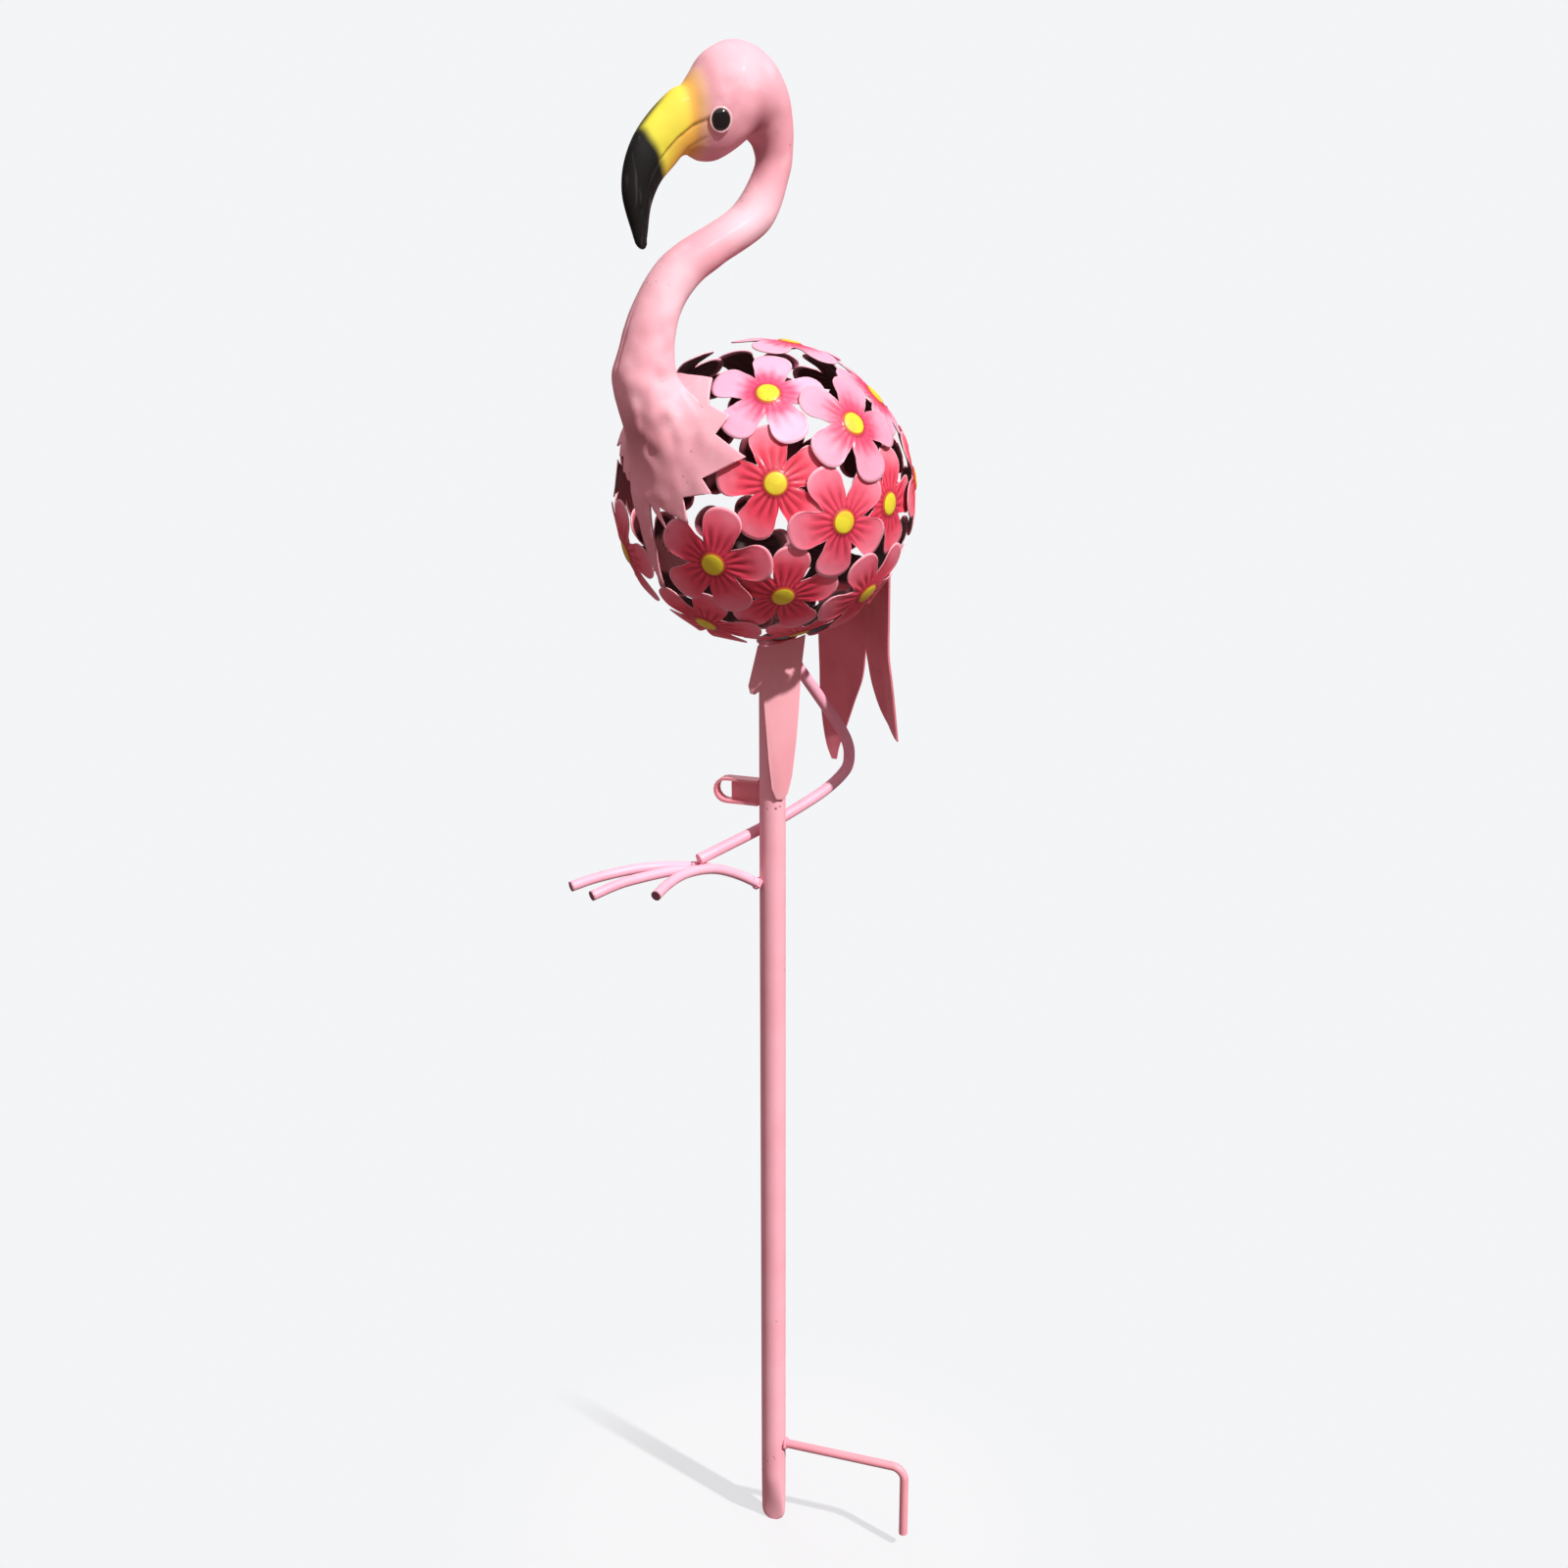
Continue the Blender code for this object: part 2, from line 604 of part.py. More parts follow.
def make_toes(collection, material, ankle):
    """Three toe rods side by side under the leg's end; the near one arches back to the tube."""
    level = ankle.z - LEG_DIAMETER / 2.0 - TOE_DIAMETER / 2.0 - WELD_GAP
    spacing = TOE_DIAMETER + WELD_GAP
    heart = Vector((ankle.x, ankle.y, level))
    toes = (("toe_far", FAR_TOE), ("toe_middle", MIDDLE_TOE), ("toe_near_and_hind", NEAR_TOE))
    for name, route in toes:
        points = []
        for back, shift, up in route:
            points.append(heart + Vector((back * TOE_LENGTH, shift * spacing, up * TOE_LENGTH)))
        if name == "toe_near_and_hind":
            away = TUBE_RADIUS + TOE_DIAMETER / 2.0 * math.sin(HIND_TOE_SLOPE) + WELD_GAP
            side = heart.y + HIND_TOE_SHIFT * spacing
            points.append(Vector((-math.sqrt(away ** 2 - side ** 2), side, level - HIND_TOE_DROP)))
        path = smooth_path(points, [TOE_STEPS] * (len(points) - 1))
        rod(name, path, TOE_DIAMETER, material, collection)


def make_tail(collection, material):
    """A forked tail sheet curved round the ball's back, with one feather longer than the other."""
    radius = TAIL_RADIUS_SHARE * BALL_RADIUS
    inner_face = radius - TAIL_SHEET / 2.0
    top = math.sqrt((BALL_RADIUS + WELD_GAP) ** 2 - inner_face ** 2) / BALL_RADIUS
    drops = [top, (top + TAIL_FORK_SHARE) / 2.0]
    vertices = []
    faces = []
    for feather in TAIL_FEATHERS:
        first = len(vertices)
        rows = [(*feather[0][:2], drop, 0.0) for drop in drops] + list(feather)
        for outer, inner, drop, sweep in rows:
            height = BALL_CENTRE.z - drop * BALL_RADIUS
            for column in range(TAIL_COLUMNS + 1):
                turn = math.radians(outer + (inner - outer) * column / TAIL_COLUMNS)
                x = BALL_CENTRE.x + radius * math.cos(turn) + sweep * BALL_RADIUS
                vertices.append(Vector((x, radius * math.sin(turn), height)))
        for row in range(len(rows) - 1):
            for column in range(TAIL_COLUMNS):
                low = first + row * (TAIL_COLUMNS + 1) + column
                high = low + TAIL_COLUMNS + 1
                faces.append((low, low + 1, high + 1, high))
    tail = mesh_object("tail_feathers", vertices, faces, material, collection)
    work = bmesh.new()
    work.from_mesh(tail.data)
    bmesh.ops.remove_doubles(work, verts=work.verts, dist=0.00001)
    bmesh.ops.recalc_face_normals(work, faces=work.faces)
    work.to_mesh(tail.data)
    work.free()
    shell = tail.modifiers.new("sheet", "SOLIDIFY")
    shell.thickness = TAIL_SHEET
    shell.offset = 0.0


def make_loop_bracket(collection, cutters, material):
    """A strip bent into a hairpin loop on the tube, half closed by a web on its far side."""
    half = BRACKET_OUTER_HEIGHT / 2.0
    start = TUBE_RADIUS + WELD_GAP
    arms = []
    for radius in (half, half - BRACKET_STRIP):
        turns = 8
        arc = []
        for step in range(turns + 1):
            angle = math.pi / 2.0 - math.pi * step / turns
            arc.append((BRACKET_REACH - half + radius * math.cos(angle), radius * math.sin(angle)))
        arms.append([(start, radius)] + arc + [(start, -radius)])
    outline = arms[0] + arms[1][::-1]
    heading = PRONG_HEADING + math.pi
    web_height = BRACKET_OUTER_HEIGHT - BRACKET_STRIP
    strip = flat_plate("loop_bracket_strip", outline, BRACKET_WIDTH, material, cutters)
    web_outline = ((start, web_height / 2.0), (start, -web_height / 2.0),
                   (BRACKET_WEB_REACH, -web_height / 2.0), (BRACKET_WEB_REACH, web_height / 2.0))
    web = flat_plate("loop_bracket_web", web_outline, BRACKET_STRIP, material, cutters)
    pieces = []
    for source, name, shift in ((strip, "loop_bracket", 0.0), (web, "web_cutter", 1.0)):
        away = (BRACKET_WIDTH - BRACKET_STRIP) / 2.0 - WELD_GAP
        source.rotation_euler = (math.pi / 2.0, 0.0, heading)
        normal = Vector((math.sin(heading), -math.cos(heading), 0.0))
        source.location = Vector((0.0, 0.0, BRACKET_HEIGHT)) + normal * away * shift
        bpy.context.view_layer.update()
        shape = bpy.data.meshes.new_from_object(source.evaluated_get(bpy.context.evaluated_depsgraph_get()))
        work = bmesh.new()
        work.from_mesh(shape)
        bmesh.ops.remove_doubles(work, verts=work.verts, dist=0.000001)
        bmesh.ops.recalc_face_normals(work, faces=work.faces)
        work.to_mesh(shape)
        work.free()
        solid = bpy.data.objects.new(name, shape)
        solid.matrix_world = source.matrix_world.copy()
        bpy.data.objects.remove(source, do_unlink=True)
        pieces.append(solid)
    loop, web_solid = pieces
    collection.objects.link(loop)
    cutters.objects.link(web_solid)
    web_solid.hide_render = True
    web_solid.display_type = "WIRE"
    join = loop.modifiers.new("web", "BOOLEAN")
    join.operation = "UNION"
    join.solver = "EXACT"
    join.object = web_solid


def main():
    clear_scene()
    parts = new_collection("flamingo_garden_stake")
    cutters = new_collection("cutters")
    pink = painted_metal("pink_paint", PINK, 0.42)
    make_head_neck_breast(parts, painted_metal("breast_paint", PINK, 0.38))
    make_flowers(parts, painted_metal("flower_paint", ROSE, 0.40))
    make_tail(parts, painted_metal("tail_paint", PINK, 0.42))
    make_thigh_plate(parts, pink)
    make_stake_tube(parts, painted_metal("tube_paint", PINK, 0.42))
    make_loop_bracket(parts, cutters, pink)
    ankle = make_bent_leg(parts, painted_metal("leg_paint", PINK, 0.42))
    make_toes(parts, painted_metal("toe_paint", PINK, 0.42), ankle)
    make_foot_prong(parts, painted_metal("prong_paint", PINK, 0.42))


main()
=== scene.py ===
"""Flamingo garden stake in painted sheet metal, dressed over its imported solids.

Metres, +Z up. The bird faces -X, and its left side, the one in the photo, faces -Y. The origin is
on the stake tube's axis at the soil line, and the floor is at the tube's tip.
"""

import logging
import math
from dataclasses import dataclass
from enum import Enum
from typing import Optional, Sequence

import bmesh
import bpy
import numpy as np
from bpy.types import ID, Material, Mesh, Node, NodeSocket, NodeTree, Object
from mathutils import Matrix, Vector, noise
from mathutils.bvhtree import BVHTree


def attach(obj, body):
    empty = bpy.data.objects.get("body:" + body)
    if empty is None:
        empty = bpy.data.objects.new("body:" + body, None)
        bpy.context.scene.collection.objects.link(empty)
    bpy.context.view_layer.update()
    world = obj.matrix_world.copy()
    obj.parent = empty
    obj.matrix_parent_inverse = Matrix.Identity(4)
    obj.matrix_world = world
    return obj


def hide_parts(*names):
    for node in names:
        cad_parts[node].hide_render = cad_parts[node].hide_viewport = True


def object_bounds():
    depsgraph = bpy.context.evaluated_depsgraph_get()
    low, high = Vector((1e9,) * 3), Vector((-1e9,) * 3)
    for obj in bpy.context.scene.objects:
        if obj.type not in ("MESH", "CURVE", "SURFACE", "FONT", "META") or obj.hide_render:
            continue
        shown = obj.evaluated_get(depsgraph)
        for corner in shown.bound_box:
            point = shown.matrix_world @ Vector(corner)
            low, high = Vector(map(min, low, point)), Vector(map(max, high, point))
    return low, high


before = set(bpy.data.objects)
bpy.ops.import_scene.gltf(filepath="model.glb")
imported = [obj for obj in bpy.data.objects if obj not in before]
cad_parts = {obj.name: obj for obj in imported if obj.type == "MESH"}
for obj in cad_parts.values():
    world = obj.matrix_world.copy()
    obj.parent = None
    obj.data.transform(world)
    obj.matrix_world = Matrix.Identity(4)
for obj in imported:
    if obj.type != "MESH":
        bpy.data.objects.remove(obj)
CAD_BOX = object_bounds()

log = logging.getLogger("flamingo")

# Driving sizes, as in the part's source
BALL_RADIUS = 0.185 / 2.0
BALL_CENTRE = np.array((-0.006, 0.0, 0.679))
TUBE_RADIUS = 0.017 / 2.0
TUBE_BELOW = 0.061
PRONG_HEADING = math.radians(-52.5)
WELD_GAP = 0.0003
BODY = "root"

UP = np.array((0.0, 0.0, 1.0))
PRONG_WAY = np.array((math.cos(PRONG_HEADING), math.sin(PRONG_HEADING), 0.0))

Colour = tuple[float, float, float, float]
Faces = list[tuple[int, ...]]

# Stations from the bill's tip to the neck's foot, in ball radii from the ball's centre: forward
# and up place of the middle, tilt of the section in degrees, half height, half width.
BODY_STATIONS = (
    (-0.895, 1.643, -7, 0.046, 0.028),
    (-0.913, 1.891, -25, 0.110, 0.062),
    (-0.835, 2.106, -51, 0.155, 0.086),
    (-0.652, 2.299, -82, 0.200, 0.116),
    (-0.568, 2.341, -88, 0.208, 0.124),
    (-0.505, 2.379, -92, 0.262, 0.165),
    (-0.428, 2.423, -95, 0.327, 0.215),
    (-0.286, 2.461, -101, 0.364, 0.262),
    (-0.129, 2.462, -110, 0.313, 0.245),
    (0.001, 2.404, -129, 0.214, 0.185),
    (0.052, 2.306, -149, 0.164, 0.150),
    (0.079, 2.177, -176, 0.126, 0.126),
    (0.064, 2.031, -189, 0.117, 0.117),
    (-0.097, 1.754, -208, 0.140, 0.140),
    (-0.461, 1.547, -207, 0.155, 0.155),
    (-0.634, 1.425, -206, 0.150, 0.150),
    (-0.771, 1.247, -193, 0.152, 0.152),
    (-0.849, 1.053, -181, 0.168, 0.168),
    (-0.884, 0.886, -180, 0.190, 0.190),
)
HEAD_STATIONS = 10

# The breast's cut feather edge on the bird's left and right, from the nape round to the front
# seam: degrees round from the front, degrees up, and whether the place is a notch.
LEFT_FEATHER_EDGE = (
    (0, 53, True), (27, 52, False), (32, 40, True), (43, 36, False), (38, 29, True),
    (51, 21, False), (35, 13, True), (39, 8, False), (28, 6, True), (30, -3, False),
    (17, 2, True), (21, -7, False), (13, 3, True), (14, -14, False), (11, -31, False),
    (7, -6, False), (0, 9, True),
)
RIGHT_FEATHER_EDGE = (
    (0, 53, True), (27, 52, False), (32, 40, True), (43, 36, False), (38, 31, True),
    (48, 28, False), (35, 26, True), (36, 21, False), (27, 24, True), (25, 19, False),
    (18, 21.5, True), (14, 16.5, False), (9, 17, True), (6, 11.5, False), (4, 11.5, False),
    (2, 9.5, False), (0, 9, True),
)

# Flower places on the ball: degrees round from the front towards the bird's left, degrees up
# from the ball's middle, and the turn of the first petal from straight up.
FLOWER_PLACES = (
    (150, 80, 10),
    (60, 47, 8), (99, 32, 26), (140, 42, 20), (-172, 44, 0), (-116, 45, 30), (-62, 46, 12),
    (62, 12, -8), (88, -3, -27), (113, 1, 12), (147, 6, 34), (-177, 5, 10), (-134, 6, 0),
    (-90, 8, 20), (-47, 4, 9),
    (-16, -20, 24), (38, -18, 17), (66, -33, 8), (112, -35, 30), (157, -32, 0), (-157, -33, 30),
    (-111, -30, 50), (-62, -30, 20),
    (19, -52, 36), (98, -68, 12), (-165, -67, 40), (-78, -64, 0),
)
FLOWER_NODES = [f"flower_{index + 1:02d}" for index in range(len(FLOWER_PLACES))]


def paint(red: int, green: int, blue: int) -> Colour:
    """A linear colour from the red, green and blue of a paint chip, each 0 to 255.

    Args:
        red: Red of the chip.
        green: Green of the chip.
        blue: Blue of the chip.

    Returns:
        The linear colour with an alpha of 1.
    """
    linear = []
    for value in (red, green, blue):
        share = value / 255.0
        linear.append(share / 12.92 if share <= 0.04045 else ((share + 0.055) / 1.055) ** 2.4)
    return (*linear, 1.0)


def smoothstep(low: float, high: float, value: np.ndarray) -> np.ndarray:
    """A soft step of values from 0 at low to 1 at high; low may be the greater."""
    share = np.clip((value - low) / (high - low), 0.0, 1.0)
    return share * share * (3.0 - 2.0 * share)


def catmull_rows(points: Sequence[Sequence[float]], spans: Sequence[int]) -> np.ndarray:
    """Rows on the smooth curve through the given ones.

    Args:
        points: Rows that the curve goes through.
        spans: Number of spans between each row and the next.

    Returns:
        All the rows, first to last.
    """
    given = np.asarray(points, dtype=float)
    padded = np.vstack((given[:1] * 2.0 - given[1:2], given, given[-1:] * 2.0 - given[-2:-1]))
    rows = []
    for index, steps in enumerate(spans):
        before, start, end, after = padded[index:index + 4]
        for step in range(steps):
            share = step / steps
            rows.append((
                start * 2.0
                + (end - before) * share
                + (before * 2.0 - start * 5.0 + end * 4.0 - after) * share ** 2
                + (start * 3.0 - before - end * 3.0 + after) * share ** 3
            ) * 0.5)
    rows.append(given[-1])
    return np.array(rows)


def ball_direction(round_degrees: np.ndarray, up_degrees: np.ndarray) -> np.ndarray:
    """Unit directions from the ball's centre, turned from the front towards the bird's left.

    Args:
        round_degrees: Degrees round from the front.
        up_degrees: Degrees up from the ball's middle.

    Returns:
        Unit vectors, with X, Y and Z on the last axis.
    """
    turn = np.radians(round_degrees)
    rise = np.radians(up_degrees)
    return np.stack((-np.cos(rise) * np.cos(turn), -np.cos(rise) * np.sin(turn), np.sin(rise)), -1)


def ball_place(back: float, up: float) -> np.ndarray:
    """A place in the bird's middle plane, given in ball radii from the ball's centre."""
    return BALL_CENTRE + np.array((back, 0.0, up)) * BALL_RADIUS


def grid_faces(rows: int, columns: int, closed: bool) -> Faces:
    """Quads of a grid of points, row by row.

    Args:
        rows: Number of rows.
        columns: Points in a row.
        closed: Whether each row closes on itself.

    Returns:
        The quads as point numbers.
    """
    faces = []
    for row in range(rows - 1):
        for column in range(columns if closed else columns - 1):
            after = (column + 1) % columns
            low = row * columns
            high = low + columns
            faces.append((low + column, low + after, high + after, high + column))
    return faces


def cap_faces(first: int, columns: int, middle: int) -> Faces:
    """Triangles from a closed row of points to a middle point."""
    return [(first + column, first + (column + 1) % columns, middle) for column in range(columns)]


def shell_faces(rows: int, columns: int) -> Faces:
    """Faces of closed rows, shut at the first and the last by middle points that come after them all.

    Args:
        rows: Number of rows.
        columns: Points in a row.

    Returns:
        The faces.
    """
    total = rows * columns
    caps = cap_faces(0, columns, total) + cap_faces(total - columns, columns, total + 1)
    return grid_faces(rows, columns, True) + caps


def add_object(name: str, data: ID) -> Object:
    """A new object in the scene, unturned at the origin.

    Args:
        name: Its name.
        data: Its mesh, light or camera.

    Returns:
        The object.
    """
    thing = bpy.data.objects.new(name, data)
    bpy.context.scene.collection.objects.link(thing)
    return thing


def face_out(mesh: Mesh, merge: float = 0.0) -> None:
    """Turns a mesh's faces outwards, after its doubled points are merged.

    Args:
        mesh: The mesh.
        merge: Points closer than this become one, and at 0 none do.
    """
    work = bmesh.new()
    work.from_mesh(mesh)
    if merge:
        bmesh.ops.remove_doubles(work, verts=work.verts, dist=merge)
    bmesh.ops.recalc_face_normals(work, faces=work.faces)
    work.to_mesh(mesh)
    work.free()


def keep_values(mesh: Mesh, values: dict[str, Sequence[float]]) -> None:
    """Keeps named values on a mesh's points, for a finish or geometry nodes to read.

    Args:
        mesh: The mesh.
        values: Under each name, one number for each point.
    """
    for label, column in values.items():
        attribute = mesh.attributes.new(label, "FLOAT", "POINT")
        attribute.data.foreach_set("value", np.asarray(column, dtype=np.float32))


def new_piece(name: str, points: np.ndarray, faces: Faces, material: Material,
              values: Optional[dict[str, np.ndarray]] = None) -> Object:
    """A smooth mesh piece at the origin with its faces pointing out.

    Args:
        name: Name of the piece.
        points: Vertices, one a row.
        faces: Faces as vertex numbers.
        material: Its finish.
        values: Named values kept on the vertices for the finish to read.

    Returns:
        The new object, in the scene.
    """
    mesh = bpy.data.meshes.new(name)
    mesh.from_pydata(points.tolist(), [], faces)
    face_out(mesh)
    keep_values(mesh, values or {})
    mesh.materials.append(material)
    mesh.shade_smooth()
    return add_object(name, mesh)


def point_piece(name: str, points: np.ndarray, chained: bool = False) -> Object:
    """A piece of points without faces, for geometry nodes to build on.

    Args:
        name: Name of the piece.
        points: Its points, one a row.
        chained: Whether each point is joined to the next.

    Returns:
        The new object, in the scene.
    """
    mesh = bpy.data.meshes.new(name)
    edges = [(index, index + 1) for index in range(len(points) - 1)] if chained else []
    mesh.from_pydata(points.tolist(), edges, [])
    return add_object(name, mesh)


def settle(piece: Object) -> None:
    """Turns a piece with modifiers into a plain mesh with the same look.

    Args:
        piece: The piece to settle.
    """
    graph = bpy.context.evaluated_depsgraph_get()
    graph.update()
    mesh = bpy.data.meshes.new_from_object(piece.evaluated_get(graph), depsgraph=graph)
    piece.modifiers.clear()
    mesh.name = piece.name
    piece.data = mesh


def run_nodes(piece: Object, tree: NodeTree, inputs: dict[str, object]) -> None:
    """Runs geometry nodes on a piece with named inputs, and keeps the result as a plain mesh.

    Args:
        piece: The piece that carries the places or the path.
        tree: The geometry nodes.
        inputs: Values by the sockets' names.
    """
    modifier = piece.modifiers.new(tree.name, "NODES")
    modifier.node_group = tree
    for item in tree.interface.items_tree:
        if item.item_type == "SOCKET" and item.in_out == "INPUT" and item.name in inputs:
            modifier[item.identifier] = inputs[item.name]
    settle(piece)
    piece.data.shade_smooth()


def hand_in(piece: Object, slot: str, *nodes: str) -> None:
    """Puts a finished piece on the body and hides the solids that it stands for.

    Args:
        piece: The finished piece.
        slot: Name of its material slot, which is only logged.
        nodes: Solids that it replaces.
    """
    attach(piece, BODY)
    if nodes:
        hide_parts(*nodes)
    triangles = sum(len(polygon.vertices) - 2 for polygon in piece.data.polygons)
    log.info("%s: %d triangles, slot %s", piece.name, triangles, slot)


class Graph:
    """Adds nodes to one tree and joins them."""

    def __init__(self, tree: NodeTree) -> None:
        """Keeps the tree that nodes are added to."""
        self.tree = tree

    def feed(self, socket: NodeSocket, value: object) -> None:
        """Joins another node's output to a socket, or sets the socket's own value.

        Args:
            socket: The socket.
            value: The output or the value.
        """
        if isinstance(value, NodeSocket):
            self.tree.links.new(value, socket)
        else:
            socket.default_value = value

    def wire(self, node: Node, **inputs: object) -> Node:
        """Feeds a node's named sockets.

        Args:
            node: The node.
            inputs: Values or outputs for its sockets, with _ for a space in a name.

        Returns:
            The same node.
        """
        for name, value in inputs.items():
            self.feed(node.inputs[name.replace("_", " ")], value)
        return node

    def add(self, kind: str, settings: Optional[dict] = None, **inputs: object) -> Node:
        """A new node.

        Args:
            kind: Blender's name for the node.
            settings: Properties to set on it.
            inputs: Values or outputs for its sockets, with _ for a space in a name.

        Returns:
            The node.
        """
        node = self.tree.nodes.new(kind)
        for name, value in (settings or {}).items():
            setattr(node, name, value)
        return self.wire(node, **inputs)

    def math(self, operation: str, first: object, second: object = 0.0) -> NodeSocket:
        """The result of one sum.

        Args:
            operation: Blender's name for the sum.
            first: Its first value.
            second: Its second value.

        Returns:
            The result.
        """
        node = self.add("ShaderNodeMath", {"operation": operation})
        self.feed(node.inputs[0], first)
        self.feed(node.inputs[1], second)
        return node.outputs[0]

    def times(self, first: object, second: object) -> NodeSocket:
        """Two values multiplied."""
        return self.math("MULTIPLY", first, second)

    def swing(self, value: object, reach: object) -> NodeSocket:
        """A value from 0 to 1, made to swing evenly to both sides of 0 over a reach."""
        return self.times(self.math("SUBTRACT", value, 0.5), reach)

    def step(self, value: object, low: float, high: float) -> NodeSocket:
        """A soft step of a value from 0 at low to 1 at high."""
        settings = {"interpolation_type": "SMOOTHSTEP"}
        return self.add("ShaderNodeMapRange", settings, Value=value, From_Min=low, From_Max=high).outputs[0]

    def mix(self, factor: object, first: object, second: object,
            strength: float = 1.0) -> NodeSocket:
        """Two colours mixed.

        Args:
            factor: Share of the second colour.
            first: The first colour.
            second: The second colour.
            strength: What the factor is multiplied by.

        Returns:
            The mixed colour.
        """
        node = self.add("ShaderNodeMix", {"data_type": "RGBA"})
        self.feed(node.inputs[0], factor if strength == 1.0 else self.times(factor, strength))
        self.feed(node.inputs[6], first)
        self.feed(node.inputs[7], second)
        return node.outputs[2]

    def noise(self, vector: object, scale: float, detail: float = 2.0) -> NodeSocket:
        """A cloudy value from 0 to 1."""
        return self.add("ShaderNodeTexNoise", Vector=vector, Scale=scale, Detail=detail).outputs[0]

    def value(self, label: str) -> NodeSocket:
        """A named value that the mesh carries."""
        return self.add("ShaderNodeAttribute", {"attribute_name": label}).outputs["Fac"]


class Socket(Enum):
    """Kinds of named sockets on the outside of a node tree."""

    FLOAT = "NodeSocketFloat"
    INT = "NodeSocketInt"
    VECTOR = "NodeSocketVector"
    OBJECT = "NodeSocketObject"
    MATERIAL = "NodeSocketMaterial"
    GEOMETRY = "NodeSocketGeometry"


class OwnTree(Graph):
    """A new node tree with named inputs and outputs."""

    def __init__(self, name: str, kind: str, inputs: dict[str, object], outputs: dict[str, Socket]) -> None:
        """Makes the tree and its sockets.

        Args:
            name: The tree's name.
            kind: Blender's name for the kind of tree.
            inputs: Each input's kind, or the number that it starts with.
            outputs: Each output's kind.
        """
        super().__init__(bpy.data.node_groups.new(name, kind))
        for way, sockets in (("INPUT", inputs), ("OUTPUT", outputs)):
            for label, start in sockets.items():
                number = Socket.INT if isinstance(start, int) else Socket.FLOAT
                sort = start if isinstance(start, Socket) else number
                socket = self.tree.interface.new_socket(name=label, in_out=way, socket_type=sort.value)
                if sort is not start:
                    socket.default_value = start
        self.given = self.add("NodeGroupInput").outputs

    def end(self, **outputs: object) -> NodeTree:
        """Feeds the tree's outputs and returns the tree."""
        self.add("NodeGroupOutput", **outputs)
        return self.tree


class GeometryTree(OwnTree):
    """Geometry nodes that take in a mesh, named sizes and a finish."""

    def __init__(self, name: str, **sizes: object) -> None:
        """Makes the tree with a named input for each size."""
        named = {label.replace("_", " "): start for label, start in sizes.items()}
        super().__init__(name, "GeometryNodeTree", {"Geometry": Socket.GEOMETRY, **named,
                                                    "Finish": Socket.MATERIAL}, {"Geometry": Socket.GEOMETRY})

    def dress(self, geometry: NodeSocket) -> NodeTree:
        """Ends the tree in Realize Instances and Set Material."""
        real = self.add("GeometryNodeRealizeInstances", Geometry=geometry).outputs[0]
        return self.end(Geometry=self.add("GeometryNodeSetMaterial", Geometry=real,
                                          Material=self.given["Finish"]).outputs[0])


class Effect(Enum):
    """Effects that more than one finish uses, each a node group."""

    ENAMEL = "enamel_surface"
    SPECKS = "paint_specks"


class EffectShelf:
    """Builds each shared effect once and places it in materials."""

    def __init__(self) -> None:
        """Builds the groups."""
        self.trees = {Effect.ENAMEL: self.enamel(), Effect.SPECKS: self.specks()}

    @staticmethod
    def enamel() -> NodeTree:
        """Enamel brushed on hammered sheet: uneven gloss, orange peel and dents.

        Returns:
            The group.
        """
        graph = OwnTree(Effect.ENAMEL.value, "ShaderNodeTree",
                        {"Place": Socket.VECTOR, "Dents": 0.5, "Gloss Change": 0.1, "Roughness": 0.4},
                        {"Roughness": Socket.FLOAT, "Height": Socket.FLOAT})
        place = graph.given["Place"]
        change = graph.swing(graph.noise(place, 90.0), graph.given["Gloss Change"])
        peel = graph.times(graph.noise(place, 900.0, 1.0), 0.00006)
        cells = graph.add("ShaderNodeTexVoronoi", {"feature": "SMOOTH_F1"}, Vector=place, Scale=75.0)
        dent = graph.times(graph.times(cells.outputs["Distance"], 0.0009), graph.given["Dents"])
        return graph.end(Roughness=graph.math("ADD", graph.given["Roughness"], change),
                         Height=graph.math("ADD", peel, dent))

    @staticmethod
    def specks() -> NodeTree:
        """Small scattered chips where the enamel has come off.

        Returns:
            The group.
        """
        graph = OwnTree(Effect.SPECKS.value, "ShaderNodeTree", {"Place": Socket.VECTOR, "Amount": 0.5},
                        {"Chips": Socket.FLOAT})
        place = graph.given["Place"]
        cells = graph.add("ShaderNodeTexVoronoi", {"feature": "F1"}, Vector=place, Scale=190.0)
        near = graph.step(cells.outputs["Distance"], 0.20, 0.10)
        here = graph.step(graph.noise(place, 33.0), 0.60, 0.68)
        return graph.end(Chips=graph.times(graph.times(near, here), graph.given["Amount"]))

    def place(self, graph: Graph, effect: Effect, **inputs: object) -> Node:
        """An effect placed in a material with its own values."""
        return graph.add("ShaderNodeGroup", {"node_tree": self.trees[effect]}, **inputs)


SHELF = EffectShelf()


def start_material(name: str) -> tuple[Material, Graph, Node, NodeSocket]:
    """A new material.

    Args:
        name: Name of the material.

    Returns:
        The material, its graph, its shader and the object coordinates.
    """
    material = bpy.data.materials.new(name)
    material.use_nodes = True
    graph = Graph(material.node_tree)
    place = graph.add("ShaderNodeTexCoord").outputs["Object"]
    return material, graph, material.node_tree.nodes["Principled BSDF"], place


